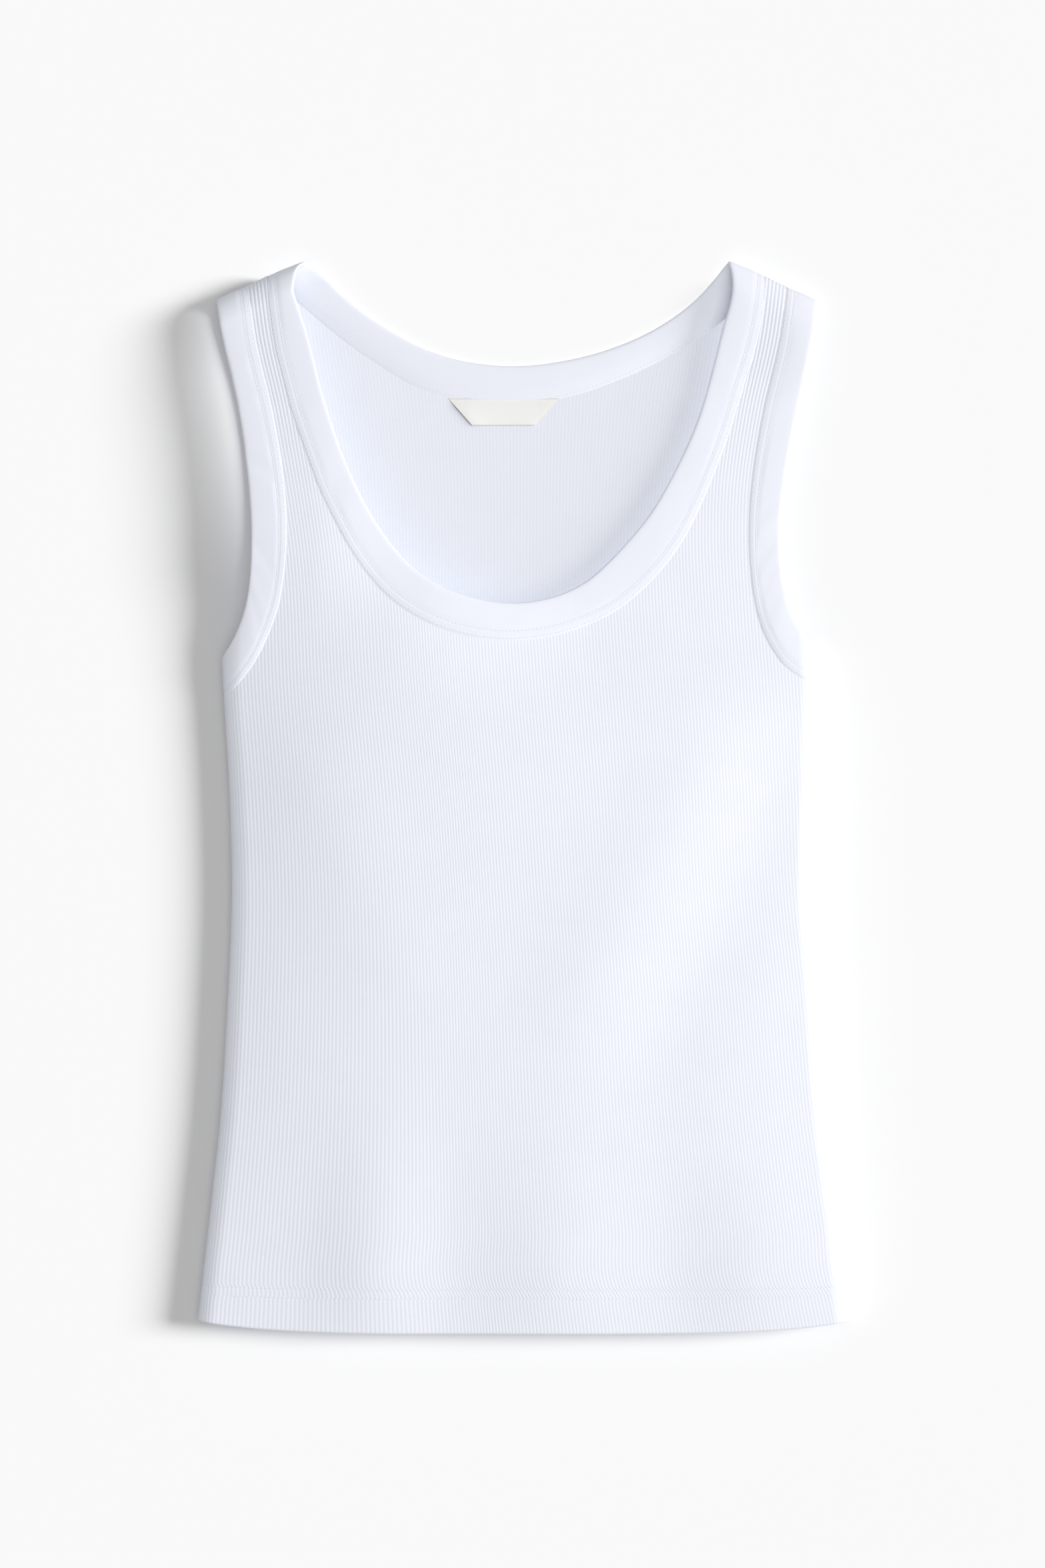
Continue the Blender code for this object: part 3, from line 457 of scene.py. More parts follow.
def rib_place(share):
    """Return the place across for a share (-1 to 1) of the way round the front."""
    return np.sign(share) * np.interp(np.clip(abs(share), 0, 1), run_share, sample)


def rib_path(rib, y):
    """Return the share round the front where a rib, counted from the minus side, is at y."""
    share = -1 + 2 * rib / RIBS
    up = y - HEM_Y - ROW_RISE * hem_rise(rib_place(share))
    jog = HEM_JOG / RIBS * (ease((up - JOG_LOW) / JOG_REACH) - ease((up - JOG_HIGH) / JOG_REACH))
    hold = DRIFT_HELD + (1 - DRIFT_HELD) * ease((share + 1) / HELD_WIDE)
    fan = RIB_FAN * ease((FAN_TOP - y) / FAN_REACH)
    fan = fan * ease((share - FAN_FROM) / FAN_GROWS) * ease((FAN_TO - share) / FAN_ENDS)
    return share + drift(y) * hold + fan + jog


def straight_path(rib, y):
    """Return the share for a rib of the back, which runs straight up."""
    return -1 + 2 * rib / RIBS + 0 * y


def grid_faces(number, alive):
    """Return faces of a grid of point numbers, as triangles where a column has ended."""
    a, b, c, d = number[:-1, :-1], number[1:, :-1], number[1:, 1:], number[:-1, 1:]
    rows = number.shape[1]
    since = np.arange(rows - 1) - np.minimum(a % rows, b % rows)
    alive = alive & (since <= FAN_ROWS)
    kinds = (
        ((a != d) & (b != c), (a, b, c, d)),
        ((a == d) & (b != c), (a, b, c)),
        ((a != d) & (b == c), (a, b, d)),
    )
    faces = []
    for kind, corners in kinds:
        faces += np.stack([corner[kind & alive] for corner in corners], -1).tolist()
    return faces


def on_cloth(share):
    """Return where each cell of a grid has a corner on the cloth, short of the side folds."""
    off = abs(share) >= 1
    return ~(off[:-1, :-1] & off[1:, :-1] & off[1:, 1:] & off[:-1, 1:])


def column_grid(ribs, rows, path, neck_y):
    """Return rib columns' counts, x, y, point numbers and shares, each ended at the panel's edge."""
    rib, y = np.meshgrid(ribs, rows, indexing="ij")
    y = y + hem_rise(rib_place(path(rib, y))) * ease((ROWS_LEVEL - y) / ROWS_LEVEL_REACH)

    def x_at(rib, y):
        return across(rib_place(path(rib, y)), y)

    cloth = inside(x_at(rib, y), y, neck_y)
    ends = np.where(cloth.all(1), len(rows), np.argmin(cloth, axis=1))
    low = y[np.arange(len(ribs)), np.maximum(ends - 1, 0)]
    high = y[np.arange(len(ribs)), np.minimum(ends, len(rows) - 1)]
    # each column's end is found by halving the step from its last point on the cloth
    for _ in range(24):
        middle = (low + high) / 2
        good = inside(x_at(np.asarray(ribs), middle), middle, neck_y)
        low = np.where(good, middle, low)
        high = np.where(good, high, middle)
    step = np.arange(len(rows))[None, :]
    y = np.where(step >= ends[:, None], low[:, None], y)
    column = np.arange(len(ribs))[:, None] * len(rows)
    number = column + np.minimum(step, np.minimum(ends, len(rows) - 1)[:, None])
    share = path(rib, y)
    return rib, across(rib_place(share), y), y, number, share


def rib_height(rib, share=0):
    """Return a rib's height (0 to 1) at a count of ribs: wide crests, flat past the sides."""
    return np.where(abs(share) >= 1, 0, 1 - abs(np.cos(np.pi * rib)) ** CREST_POWER)


def rib_columns(first, last):
    """Return counts of ribs with four columns of points to each rib."""
    return (np.arange(first, last)[:, None] + np.array(RIB_COLUMNS)).ravel()


ROWS_LEVEL, ROWS_LEVEL_REACH = -0.20, 0.08  # rows of points are level from here up, curved at the hem
# the heights of the rows of points: close at the stitches and where the neck and straps bend
ROWS = np.concatenate([
    np.linspace(HEM_Y + 0.0012, HEM_Y + 0.017, 5, endpoint=False),
    np.linspace(HEM_Y + 0.017, HEM_Y + 0.0265, 15, endpoint=False),
    np.linspace(HEM_Y + 0.0265, 0.085, 60, endpoint=False),
    np.linspace(0.085, 0.262, 38, endpoint=False),
    np.linspace(0.262, 0.2935, 30),
])


def hem_dent(up):
    """Return how far the hem's stitches pull the cloth in, by the distance up from its edge."""
    return sum(HEM_DENT * np.exp(-(((up - row) / HEM_DENT_WIDE) ** 2)) for row in STITCH_ROWS)


def outer_sheet(skin, path, ribs, rows, neck_y, relief, short):
    """Return a panel's ribbed outside: points, faces, thread directions and painted shade, darker in the rib
    valleys.
    """
    rib, x, y, number, share = column_grid(ribs, rows + short, path, neck_y)
    point, facing = skin(x, y)
    up = y - (HEM_Y + short + ROW_RISE * hem_rise(place_of(x, y)))
    deep = 1 + STRAP_RIBS * ease((y - STRAP_RIBS_START) / STRAP_RIBS_REACH)
    tall = rib_height(rib, share) * relief * deep
    point = point + facing * (tall - hem_dent(up))[..., None]
    # the last value is painted shade in the rib valleys, stronger on the straps
    return point, grid_faces(number, on_cloth(share)), (rib, y), (1 - rib_height(rib)) * deep


def hem_fold(skin, path, ribs, lowest, relief, short):
    """Return the hem's turned-up layer and its fold, as outer_sheet does."""
    radius = HEM_WALL / 2
    # height over the hem's edge, depth in radii
    fold = [(0.022, 2), (0.016, 2), (0.009, 2), (0.004, 2), (radius, 2)]
    fold += [(radius * (1 - math.cos(a)), 1 - math.sin(a)) for a in np.radians([-60, -30, 0, 30, 60])]
    heights = [HEM_Y + short + up for up, _ in fold] + [lowest + short]
    depth = np.array([deep * radius for _, deep in fold] + [0.0])
    rib, y = np.meshgrid(ribs, np.array(heights), indexing="ij")
    y = y + hem_rise(rib_place(path(rib, y)))
    share = path(rib, y)
    point, facing = skin(across(rib_place(share), y), y)
    turned = np.clip(1 - depth / (2 * radius), 0, 1)
    tall = rib_height(rib, share) * relief
    point = point - facing * (depth[None, :] - tall * (2 * turned - 1)[None, :])[..., None]
    number = np.arange(rib.size).reshape(rib.shape)
    return point, grid_faces(number, on_cloth(share)), (rib, y), 1 - rib_height(rib)


def inner_sheet(skin, path, ribs, rows, neck_y, relief, short):
    """Return a panel's inside, as outer_sheet does."""
    rib, x, y, number, share = column_grid(ribs, rows + short, path, neck_y)
    point, facing = skin(x, y)
    tall = rib_height(rib, share) * relief
    point = point - facing * (WALL - INNER_IN + tall)[..., None]
    faces = [face[::-1] for face in grid_faces(number, on_cloth(share))]
    return point, faces, (rib, y), 1 - rib_height(rib)


def joined(parts):
    """Return several grids as one, without unused points."""
    points, all_faces, uvs, painted_shades = [], [], [], []
    start = 0
    for point, faces, uv, painted_shade in parts:
        used = np.unique(np.fromiter((v for face in faces for v in face), int))
        new = np.full(painted_shade.size, -1)
        new[used] = np.arange(len(used)) + start
        start += len(used)
        all_faces += [[int(new[v]) for v in face] for face in faces]
        points.append(point.reshape(-1, 3)[used])
        uvs.append(np.stack(uv, -1).reshape(-1, 2)[used])
        painted_shades.append(painted_shade.ravel()[used])
    return np.concatenate(points), all_faces, np.concatenate(uvs), np.concatenate(painted_shades)


def panel(name, node, skin, path, ribs, rows, neck_y, reliefs, short, inner_step):
    """Make a panel: an outer sheet with its hem turned up, and an inner sheet."""
    upper = rows[rows > HEM_Y + INNER_HEM[2]][:: 2 if inner_step > 1 else 1]
    inner_rows = np.concatenate([[HEM_Y + INNER_HEM[0], HEM_Y + INNER_HEM[1]], upper])
    points, faces, uv, painted_shade = joined([
        outer_sheet(skin, path, ribs, rows, neck_y, reliefs[0], short),
        hem_fold(skin, path, ribs, rows[0], reliefs[0], short),
        inner_sheet(skin, path, ribs[::inner_step], inner_rows, neck_y, reliefs[1], short),
    ])
    if skin is back_skin:
        faces = [face[::-1] for face in faces]
    return make(name, points, faces, cotton_rib, uv, painted_shade, (node,))


# ---- materials ----
def nodes_of(name):
    """Return a new material, its node tree and its shader."""
    made = bpy.data.materials.new(name)
    made.use_nodes = True
    return made, made.node_tree, made.node_tree.nodes["Principled BSDF"]


def put(node, values):
    """Set a node's inputs by their names."""
    for name, value in values.items():
        node.inputs[name].default_value = value


def math_node(operation, a, b=None, clamp=False):
    """Add a math node to its sockets' tree and return its output."""
    tree = (b if isinstance(a, float) else a).id_data
    node = tree.nodes.new("ShaderNodeMath")
    node.operation = operation
    node.use_clamp = clamp
    for socket, value in zip(node.inputs, (a, b)):
        if value is None:
            continue
        if isinstance(value, (int, float)):
            socket.default_value = value
        else:
            tree.links.new(value, socket)
    return node.outputs[0]


# shorter calls for the nodes that are used most
def add(a, b, clamp=False):
    return math_node("ADD", a, b, clamp)


def times(a, b):
    return math_node("MULTIPLY", a, b)


def less(a, b):
    return math_node("SUBTRACT", a, b)


def turns(a, length):
    """Return an angle that goes once round over a length."""
    return times(a, 2 * math.pi / length)


def sine(a):
    return math_node("SINE", a)


def noise(vector, scale, detail=2.0):
    """Add a noise texture and return its output."""
    node = vector.id_data.nodes.new("ShaderNodeTexNoise")
    put(node, {"Scale": scale, "Detail": detail})
    vector.id_data.links.new(vector, node.inputs["Vector"])
    return node.outputs["Fac"]


def cloth(name, light, dark, rough, sheen, pattern):
    """Make a cotton: painted shade turns its colour from light towards dark in rib valleys, along seams and
    between the knit loops, and pattern adds the loops.
    """
    made, tree, shader = nodes_of(name)
    coordinates = tree.nodes.new("ShaderNodeTexCoord")
    uv = tree.nodes.new("ShaderNodeUVMap")
    uv.uv_map = "thread"
    split = tree.nodes.new("ShaderNodeSeparateXYZ")
    tree.links.new(uv.outputs["UV"], split.inputs[0])
    where = coordinates.outputs["Object"]
    loops = pattern(split.outputs[0], split.outputs[1])
    fuzz = noise(where, 2600.0, 3.0)
    slub = noise(where, 60.0)
    broad = noise(where, 9.0)
    bump = tree.nodes.new("ShaderNodeBump")
    put(bump, {"Strength": 0.55, "Distance": 0.00007})
    height = add(loops, times(fuzz, 0.5))
    tree.links.new(add(height, times(slub, 0.25)), bump.inputs["Height"])
    tree.links.new(bump.outputs[0], shader.inputs["Normal"])
    painted_shade = tree.nodes.new("ShaderNodeAttribute")
    painted_shade.attribute_name = "painted_shade"
    # painted shade: each point's amount moves the colour towards dark; the two noises below add random tone
    shade = times(painted_shade.outputs["Fac"], 0.30)
    shade = add(shade, times(less(slub, 0.5), 0.22))
    shade = add(shade, times(less(broad, 0.5), 0.12))
    # painted shade between the knit loops, where the pattern is low
    shade = add(shade, times(less(1.0, loops), 0.05), clamp=True)
    mix = tree.nodes.new("ShaderNodeMix")
    mix.data_type = "RGBA"
    put(mix, {"A": (*light, 1), "B": (*dark, 1)})
    tree.links.new(shade, mix.inputs["Factor"])
    tree.links.new(mix.outputs["Result"], shader.inputs["Base Color"])
    put(shader, {"Roughness": rough, "Specular IOR Level": 0.18})
    put(shader, {"Sheen Weight": sheen, "Sheen Roughness": 0.5})
    return made


LOOP, CHEVRON = 0.00085, 1.3  # a panel's knit loop, and how far its sides slant, in loops
WALE, COURSE = 0.0011, 0.0008  # a binding's loop, along and across
NET_ALONG, NET_ACROSS = 0.0022, 0.0040  # a diamond of its net of thread
NET_MIDDLE, NET_HALF = 0.0038, 0.0026  # where across the net lies
WARP, WEFT = 0.0004, 0.0003  # the label's


def rib_loops(rib, along):
    """Knit loops: small chevrons up each rib."""
    across_rib = math_node("ABSOLUTE", less(math_node("FRACT", rib), 0.5))
    phase = add(times(along, 1 / LOOP), times(across_rib, CHEVRON))
    return times(add(sine(turns(phase, 1)), 1.0), 0.22)


def band_loops(along, wide):
    """Fine wales that run across the band, with a diamond net of thread between its rows of stitches."""
    wale = times(add(sine(turns(along, WALE)), 1.0), 0.5)
    loop = sine(turns(wide, COURSE))
    plain = add(times(wale, 0.40), times(loop, 0.05))
    one = turns(along, NET_ALONG)
    other = turns(wide, NET_ACROSS)
    net = times(sine(add(one, other)), sine(less(one, other)))
    from_middle = math_node("ABSOLUTE", less(wide, NET_MIDDLE))
    zone = math_node("LESS_THAN", from_middle, NET_HALF)
    return add(plain, times(times(net, 0.9), zone))


def satin_weave(along, wide):
    """A fine even weave."""
    warp = sine(turns(along, WARP))
    weft = sine(turns(wide, WEFT))
    return times(add(times(warp, weft), 1.0), 0.5)


# name, colour, painted shade colour, roughness, sheen, pattern
cotton_rib = cloth("cotton_rib_white", (0.787, 0.808, 0.873), (0.67, 0.695, 0.78), 0.9, 0.25, rib_loops)
cotton_binding = cloth(
    "cotton_binding_white", (0.777, 0.798, 0.865), (0.69, 0.715, 0.79), 0.9, 0.25, band_loops
)
thread_white = cloth("thread_white", (0.77, 0.79, 0.858), (0.68, 0.705, 0.785), 0.8, 0.2, band_loops)
label_satin = cloth("label_satin_white", (0.87, 0.865, 0.845), (0.79, 0.795, 0.75), 0.5, 0.1, satin_weave)

# ---- panels ----
front = panel(
    "front_rib_panel", "front_panel", front_skin, rib_path, rib_columns(-5, RIBS), ROWS, neck_front_y,
    (RIB_RELIEF, 0.0), 0.0, 8,
)
back = panel(
    "back_rib_panel", "back_panel", back_skin, straight_path, np.arange(0, RIBS * 3 + 1) / 3, ROWS[::2],
    neck_back_y, (BACK_RELIEF, INNER_RELIEF), BACK_SHORT, 1,
)

# ---- bindings ----
MM = 0.001
# across a binding: millimetres from its seam, or from its free edge, and height over the skin
OUT_SECTION = (
    (0, 0.04), (0.35, 0.14), (0.8, 0.27), (1.4, 0.42), (2, 0.56), (3, 0.72), (4, 0.76),
    (5, 0.78), (5.7, 0.77), (6.5, 0.86), (7.6, 0.98), (9.5, 1.08),
)
FREE_SECTION = (
    (-5, 1.08), (-3.2, 1.07), (-1.9, 1.03), (-0.9, 0.92), (-0.35, 0.66), (-0.08, 0.26), (0, -0.22),
    (-0.08, -0.70), (-0.4, -1.06), (-1.6, -1.25), (-3, -1.32),
)
IN_SECTION = (
    (8, -1.32), (5.6, -1.27), (3.4, -1.28), (1.4, -1.20), (0.5, -1.12), (0, -1.04), (-0.5, -0.86),
    (-0.3, -0.40),
)
WOBBLE, WOBBLE_POINTS, WOBBLE_ABOVE = 0.00008, 60, 0.00090  # unevenness of a binding's top, over a height
SEAM_PAINTED_SHADE = 0.40  # how shaded a binding is along its seam
SINK_REACH = 0.008  # how far from the seam the back's inner layer is let in as far as the outer one
ARM_TUCK = 0.09  # share of its width by which an armhole's back band is hidden by its front one
# how many stations a run has: over its first roll, along it in two stretches, over its last roll
NECK_FRONT_COUNTS, NECK_BACK_COUNTS = (16, 95, 95, 16), (12, 40, 40, 12)
ARM_FRONT_COUNTS, ARM_BACK_COUNTS = (12, 40, 45, 16), (12, 30, 30, 12)
ARM_MIDDLE = 0.42  # the share of an armhole's line where its first stretch ends


def mixed(at, places, rows):
    """Return vectors between the rows of vectors that stand at the places."""
    return np.stack([np.interp(at, places, rows[:, k]) for k in range(3)], 1)


def proud_of(counts, skin):
    """Return how far a run of stations is on the front: 1 there, 0 behind, eased over the folds."""
    full = float(skin is front_skin)
    share = np.full(sum(counts) + 1, full)
    share[: counts[0] + 1] = np.linspace(0.5, full, counts[0] + 1)
    share[-counts[-1] - 1 :] = np.linspace(full, 0.5, counts[-1] + 1)
    return share


def paired(skin, seam, free, marks_of, counts):
    """Return a run of stations: points and facings along a seam and its free edge, and proud_of."""
    out = []
    for line in (seam, free):
        point, facing = skin(line[:, 0], line[:, 1])
        length = lengths(point)
        marks = marks_of(line)
        stretches = [
            np.linspace(length[a], length[b], n, endpoint=False)
            for a, b, n in zip(marks, marks[1:], counts)
        ]
        at = np.concatenate(stretches + [[length[marks[-1]]]])
        out += [mixed(at, length, point), unit(mixed(at, length, facing))]
    return out + [proud_of(counts, skin)]


def roll_marks(roll):
    """Return a function that marks where a neck line leaves one shoulder's roll and meets the other's."""
    def marks(line):
        clear = np.flatnonzero(shoulder_share(line[:, 0], line[:, 1], roll) <= 0)
        return [0, clear[0], int(np.argmin(line[:, 1])), clear[-1], len(line) - 1]

    return marks


def arm_marks(side_roll, top_roll):
    """Return a function that marks where an armhole line leaves the side's roll and meets the shoulder's."""
    def marks(line):
        leaves = np.flatnonzero(side_share(line[:, 0], line[:, 1], side_roll) <= 0)[0]
        meets = np.flatnonzero(shoulder_share(line[:, 0], line[:, 1], top_roll) > 0)[0] - 1
        length = lengths(line)
        middle = int(np.searchsorted(length, length[leaves] + (length[meets] - length[leaves]) * ARM_MIDDLE))
        return [0, leaves, middle, meets, len(line) - 1]

    return marks


def ring_of(front_run, back_run):
    """Join a front and a back run into one closed ring of stations, with the length up to each."""
    ring = [np.concatenate([a, b[1:-1]]) for a, b in zip(front_run, back_run)]
    return ring + [lengths(ring[0])]


def station(ring, at, from_seam, height):
    """Return points at a length along a ring, a distance in from its seam and a height over the skin."""
    seam, _, _, _, proud, length = ring
    total = length[-1] + np.linalg.norm(seam[-1] - seam[0])
    at = np.mod(at, total)
    wrap = np.append(length, total)
    here, here_facing, free, free_facing = (mixed(at, wrap, np.vstack([m, m[:1]])) for m in ring[:4])
    shown = np.interp(at, wrap, np.append(proud, proud[0]))
    out = free - here
    wide = np.linalg.norm(out, axis=1)
    share = np.clip(from_seam / wide, 0, 1)[:, None]
    facing = unit(here_facing * (1 - share) + free_facing * share)
    lift = height - BACK_SINK * (1 - shown)
    return here + out / wide[:, None] * from_seam + facing * lift[:, None], facing


def band(name, node, ring):
    """Make a folded binding along a ring."""
    seam, seam_facing, free, free_facing, proud, length = ring
    out = free - seam
    wide = np.linalg.norm(out, axis=1)
    wobble_at = np.linspace(0, length[-1], WOBBLE_POINTS)
    wobble = np.interp(length, wobble_at, rng.normal(0, WOBBLE, WOBBLE_POINTS))
    # distance, height, whether it's from the free edge, share of the back's sink
    sections = [(a * MM, h * MM, False, 1.0) for a, h in OUT_SECTION]
    sections += [(a * MM, h * MM, True, 1.0) for a, h in FREE_SECTION]
    sections += [(a * MM, h * MM, False, float(np.clip(a * MM / SINK_REACH, 0, 1))) for a, h in IN_SECTION]
    points, uvs, painted_shade = [], [], []
    walked = 0.0
    before = None
    for a, h, from_free, sunk in sections:
        at = wide + a if from_free else np.full(len(wide), a)
        share = np.clip(at / wide, 0, 1)[:, None]
        facing = unit(seam_facing * (1 - share) + free_facing * share)
        puff = wobble * (h > WOBBLE_ABOVE)
        lift = h + puff - BACK_SINK * sunk * (1 - proud)
        points.append(seam + out / wide[:, None] * at[:, None] + facing * lift[:, None])
        here = (0.02 + a if from_free else a, h)
        walked += math.dist(here, before) if before else 0
        before = here
        uvs.append(np.stack([length, np.full(len(wide), walked)], 1))
        # painted shade along the binding's seam, on its first row only
        painted_shade.append(np.full(len(wide), SEAM_PAINTED_SHADE if len(painted_shade) == 0 else 0.0))
    points = np.stack(points, 1)
    count, ring_size = points.shape[:2]
    k, m = np.meshgrid(np.arange(count), np.arange(ring_size), indexing="ij")
    after, beside = (k + 1) % count, (m + 1) % ring_size
    corners = ((k, m), (k, beside), (after, beside), (after, m))
    faces = np.stack([p * ring_size + q for p, q in corners], -1).reshape(-1, 4)
    points = points.reshape(-1, 3)
    a, b, c, d = (points[faces[:, i]] for i in range(4))
    if (a * np.cross(b, c)).sum() + (a * np.cross(c, d)).sum() < 0:
        faces = faces[:, ::-1]
    uv = np.stack(uvs, 1).reshape(-1, 2)
    shade = np.stack(painted_shade, 1).ravel()
    return make(name, points, faces.tolist(), cotton_binding, uv, shade, (node,))


free = smooth_path(metres(NECK_FREE_FRONT))
front_run = paired(front_skin, neck_front, free, roll_marks(SHOULDER_ROLL), NECK_FRONT_COUNTS)
free = smooth_path(metres(NECK_FREE_BACK))[::-1]
back_run = paired(back_skin, neck_back[::-1], free, roll_marks(BACK_SHOULDER_ROLL), NECK_BACK_COUNTS)
neck_ring = ring_of(front_run, back_run)
band("neck_band", "neck_binding", neck_ring)
arm_rings = {}
for side_name, seam, free_rows in (("right", arm_minus, ARM_FREE_MINUS), ("left", arm_plus, ARM_FREE_PLUS)):
    free = smooth_path(metres(free_rows[::-1]))
    inset = np.sin(np.pi * np.linspace(0, 1, len(free))) ** 2 * ARM_TUCK
    tucked = free + (seam - free) * inset[:, None]
    front_run = paired(front_skin, seam, free, arm_marks(FRONT_ROLL, SHOULDER_ROLL), ARM_FRONT_COUNTS)
    back_run = paired(back_skin, seam, tucked, arm_marks(BACK_ROLL, BACK_SHOULDER_ROLL), ARM_BACK_COUNTS)
    arm_rings[side_name] = ring_of(front_run, [m[::-1] for m in back_run])
    band("arm_band_" + side_name, "armhole_binding_" + side_name, arm_rings[side_name])

# ---- stitches ----
THREAD_SIDES = 5
ALONG = np.linspace(-0.5, 0.5, 5)  # places along one stitch
THICK = np.array([0.6, 1.0, 1.1, 1.0, 0.6])  # its thickness there
HEM_THICK = np.array([0.55, 1.0, 1.1, 1.0, 0.55])
# two rows on a binding: distance from the seam, height over the skin
BINDING_ROWS = ((0.0015, 0.00047), (0.0057, 0.00079))
INSIDE_ROW = (0.0016, -0.00032)  # the row inside the back's binding
# the thread's radius on the bindings, inside the back's one and at the hem
BINDING_THREAD, INSIDE_THREAD, HEM_THREAD = 0.00018, 0.00016, 0.00013
UNEVEN_ALONG, UNEVEN_ACROSS, UNEVEN_HEM = 0.00008, 0.00005, 0.00006  # how far stitches stand off their rows
SHOWN, INSIDE_SHOWN = 0.98, 0.7  # the share of its step that a stitch fills
DIVE, INSIDE_DIVE, HEM_DIVE = 0.00007, -0.00012, 0.00006  # how far a stitch's ends go into the cloth


def stitches(name, paths, radius):
    """Make thread along paths: each is a row of points, the way the cloth faces there, and a thickness."""
    points, faces, uvs = [], [], []
    turn = np.arange(THREAD_SIDES) / THREAD_SIDES * 2 * math.pi
    start = 0
    for path, facing, thick in paths:
        tangent = unit(np.gradient(path, axis=0))
        side = unit(np.cross(tangent, facing))
        up = np.cross(side, tangent)
        r = (radius * thick)[:, None, None]
        sideways = np.cos(turn)[None, :, None] * side[:, None]
        upward = THREAD_FLAT * np.sin(turn)[None, :, None] * up[:, None]
        points.append((path[:, None] + r * (sideways + upward)).reshape(-1, 3))
        uvs.append(np.stack([np.repeat(lengths(path), THREAD_SIDES), np.tile(turn * radius, len(path))], 1))
        for k in range(len(path) - 1):
            for m in range(THREAD_SIDES):
                a = start + k * THREAD_SIDES + m
                b = start + k * THREAD_SIDES + (m + 1) % THREAD_SIDES
                faces.append((a, b, b + THREAD_SIDES, a + THREAD_SIDES))
        last = start + (len(path) - 1) * THREAD_SIDES
        faces.append([start + m for m in range(THREAD_SIDES)][::-1])
        faces.append([last + m for m in range(THREAD_SIDES)])
        start = last + THREAD_SIDES
    points = np.concatenate(points)
    return make(name, points, faces, thread_white, np.concatenate(uvs), np.zeros(len(points)))


def dash(ring, middle, length, from_seam, lift, dive):
    """Return one stitch on a ring: a short run of thread that dives into the cloth at both ends."""
    height = lift - dive * (2 * abs(ALONG)) ** 3
    point, facing = station(ring, middle + ALONG * length, from_seam, height)
    return point, facing, THICK


rings = {"neck": neck_ring, "arm_left": arm_rings["left"], "arm_right": arm_rings["right"]}
for ring_name, ring in rings.items():
    paths = []
    for row, (from_seam, lift) in enumerate(BINDING_ROWS):
        for k in range(int(ring[5][-1] / STITCH)):
            middle = (k + 0.5 * row) * STITCH + rng.normal(0, UNEVEN_ALONG)
            here = from_seam + rng.normal(0, UNEVEN_ACROSS)
            paths.append(dash(ring, middle, STITCH * SHOWN, here, lift, DIVE))
    stitches(ring_name + "_stitches", paths, BINDING_THREAD)

# one row inside the back's neck binding
behind = np.flatnonzero(neck_ring[4] < 0.5)
first, last = neck_ring[5][behind[0]], neck_ring[5][behind[-1]]
stitches("neck_back_stitches", [
    dash(neck_ring, first + (k + 0.5) * STITCH, STITCH * INSIDE_SHOWN, *INSIDE_ROW, INSIDE_DIVE)
    for k in range(int((last - first) / STITCH))
], INSIDE_THREAD)

# two rows across the hem: name, surface, how short it is, how far the rows go, height
for side_name, skin, short, ends, lift in (
    ("front", front_skin, 0.0, 0.985, 0.00006),
    ("back", back_skin, BACK_SHORT, 0.93, -0.00016),
):
    paths = []
    for row, up in enumerate(STITCH_ROWS):
        wide = float(half_width(HEM_Y + up)) * ends
        for k in range(int(2 * wide / STITCH)):
            x = -wide + (k + 0.5 + 0.5 * row) * STITCH + ALONG * STITCH
            rise = ROW_RISE * hem_rise(place_of(x, np.full(len(x), HEM_Y + up)))
            point, facing = skin(x, HEM_Y + short + up + rise + rng.normal(0, UNEVEN_HEM))
            height = lift - HEM_DIVE * (2 * abs(ALONG)) ** 3
            paths.append((point + facing * height[:, None], facing, HEM_THICK))
    stitches("hem_stitches_" + side_name, paths, HEM_THREAD)

# ---- label: a blank satin tape, sewn down at the back neck seam, its ends folded back at an angle ----
LABEL_TOP, LABEL_FOOT, LABEL_DROP = 0.0606, 0.0343, 0.0150
LABEL_X, LABEL_Y = -0.0110, 0.2184  # middle of its upper edge
LABEL_LIFT, LABEL_DROOP, LABEL_SEWN = 0.0029, 0.0009, 0.0015  # height, and how much lower foot and top are
LABEL_SEWN_REACH = 0.4  # the share of its drop over which it rises from the seam
LABEL_CURL = 0.0006  # how far its lower corner on the minus side stands up
LABEL_LAYER = 0.00035  # how far its back layer is under the front one
LABEL_CORNER = 0.00015  # how far its ends bend down
LABEL_FOLD, LABEL_SHADE = 0.002, 0.9  # its ends are shaded from this far past its foot, and how much
LABEL_ACROSS, LABEL_DOWN = 40, 12  # how many faces


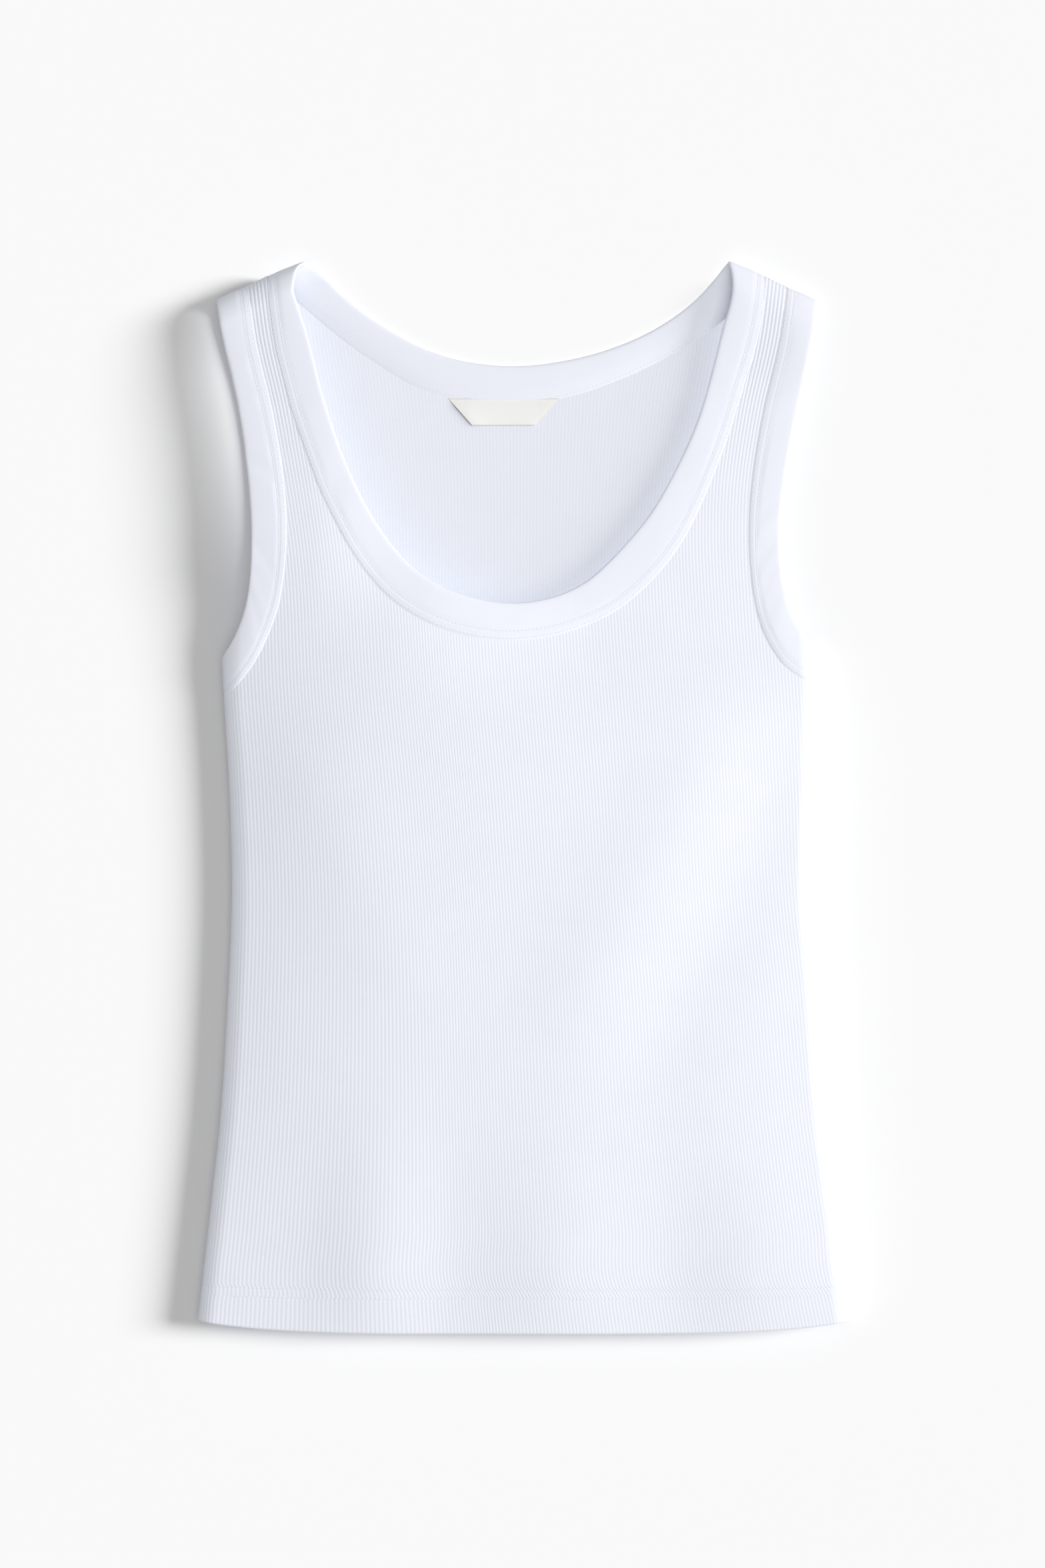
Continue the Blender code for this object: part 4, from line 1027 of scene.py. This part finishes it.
def label():
    """Make the label's two layers and the narrow faces round them."""
    points, uvs, painted_end_shade, number = [], [], [], {}
    for layer in (0, 1):
        for j in range(LABEL_DOWN + 1):
            v = j / LABEL_DOWN
            wide = LABEL_TOP + (LABEL_FOOT - LABEL_TOP) * v
            for i in range(LABEL_ACROSS + 1):
                u = i / LABEL_ACROSS * 2 - 1
                edge = 1 - abs(u) ** 14
                curl = LABEL_CURL * v * float(ease((-u - 0.3) / 0.7))
                sewn = LABEL_SEWN * (1 - float(ease(v / LABEL_SEWN_REACH)))
                lift = LABEL_LIFT - LABEL_DROOP * v - sewn + curl
                lift -= layer * LABEL_LAYER * edge + LABEL_CORNER * (1 - edge)
                number[layer, i, j] = len(points)
                points.append((LABEL_X + u * wide / 2, LABEL_Y - LABEL_DROP * v, lift))
                uvs.append((u * wide / 2, v * LABEL_DROP))
                # painted shade on the ends folded back past the foot
                painted_end_shade.append(LABEL_SHADE * float(ease((abs(u * wide) - LABEL_FOOT) / LABEL_FOLD - 1)))

    def face(*corners):
        return [number[corner] for corner in corners]

    faces = []
    for i in range(LABEL_ACROSS):
        for j in range(LABEL_DOWN):
            faces.append(face((0, i, j), (0, i, j + 1), (0, i + 1, j + 1), (0, i + 1, j)))
            faces.append(face((1, i + 1, j), (1, i + 1, j + 1), (1, i, j + 1), (1, i, j)))
    end, foot = LABEL_ACROSS, LABEL_DOWN
    for i in range(LABEL_ACROSS):
        faces.append(face((0, i, foot), (1, i, foot), (1, i + 1, foot), (0, i + 1, foot)))
        faces.append(face((0, i + 1, 0), (1, i + 1, 0), (1, i, 0), (0, i, 0)))
    for j in range(LABEL_DOWN):
        faces.append(face((0, 0, j), (1, 0, j), (1, 0, j + 1), (0, 0, j + 1)))
        faces.append(face((0, end, j + 1), (1, end, j + 1), (1, end, j), (0, end, j)))
    return make("neck_label_tape", points, faces, label_satin, uvs, painted_end_shade, ("neck_label",))


label()

# ---- floor, light and camera ----
floor_mesh = bpy.data.meshes.new("floor")
floor_mesh.from_pydata([(-4, -4, 0), (4, -4, 0), (4, 4, 0), (-4, 4, 0)], [], [(0, 1, 2, 3)])
floor = placed("floor", floor_mesh)
floor.location.z = -0.0002
floor_material, _, floor_shader = nodes_of("floor_pale")
put(floor_shader, {"Base Color": (0.80, 0.80, 0.80, 1), "Roughness": 0.9, "Specular IOR Level": 0.1})
floor_mesh.materials.append(floor_material)


def only(name, things):
    """Return a collection of the pieces that a light shines on."""
    lit = bpy.data.collections.new(name)
    for thing in things:
        lit.objects.link(thing)
    return lit


def lamp(name, kind, way, energy, lit, shades=None):
    """Add a light from a direction: its elevation, azimuth and distance."""
    elevation, azimuth, distance = math.radians(way[0]), math.radians(way[1]), way[2]
    light = bpy.data.lights.new(name, kind)
    light.energy = energy
    thing = placed(name, light)
    flat = math.cos(elevation)
    toward = Vector((flat * math.cos(azimuth), flat * math.sin(azimuth), math.sin(elevation)))
    thing.location = toward * distance
    thing.rotation_euler = toward.to_track_quat("Z", "Y").to_euler()
    thing.visible_camera = False
    thing.light_linking.receiver_collection = lit
    if shades:
        thing.light_linking.blocker_collection = shades
    return light


cloth_pieces = [t for t in scene.objects if t.type == "MESH" and t is not floor]
floor_lit = only("floor_lit", [floor])
inside_pieces = [t for t in cloth_pieces if t.name in ("back_rib_panel", "neck_label_tape")]
cloth_lit = only("cloth_lit", [t for t in cloth_pieces if t not in inside_pieces])
inside_lit = only("inside_lit", inside_pieces)
outer_pieces = only("outer_pieces", [t for t in cloth_pieces if not t.name.startswith("neck")])
# the table's own key light and fill, even over the whole table
lamp("table_key", "SUN", (22, 6, 3), 5.22, floor_lit, outer_pieces).angle = math.radians(20)
lamp("table_fill", "SUN", (90, 0, 3), 0.66, floor_lit).angle = math.radians(60)
# the garment's lights: a soft box up on the right, a weak low key and a fill from above
soft_box = lamp("garment_box", "AREA", (70, 0, 1.2), 6.0, cloth_lit)
soft_box.shape = "RECTANGLE"
soft_box.size = 0.5
soft_box.size_y = 0.9
lamp("garment_key", "SUN", (22, 0, 3), 2.1, cloth_lit).angle = math.radians(20)
lamp("garment_fill", "SUN", (90, 0, 3), 0.42, cloth_lit).angle = math.radians(30)

# the inside of the back: light through the thin front is a fill that only the label shades
lamp("inside_key", "SUN", (22, 0, 3), 1.75, inside_lit).angle = math.radians(40)
label_shade = only("label_shade", inside_pieces)
lamp("inside_fill", "SUN", (60, 0, 3), 1.7, inside_lit, label_shade).angle = math.radians(30)

world = bpy.data.worlds.new("studio")
scene.world = world
world.use_nodes = True
put(world.node_tree.nodes["Background"], {"Color": (1.0, 1.0, 1.0, 1), "Strength": 0.35})
scene.view_settings.view_transform = "Standard"

CAMERA_UP, SENSOR = 3.0, 24.0  # metres, millimetres
SEEN = 0.8585  # how much of the table the picture's height shows
camera = bpy.data.cameras.new("camera")
camera_object = placed("camera", camera)
camera.sensor_fit = "VERTICAL"
camera.sensor_height = SENSOR
camera_object.location = (-0.0007, 0.0073, CAMERA_UP)
camera.lens = CAMERA_UP * SENSOR / SEEN
scene.camera = camera_object
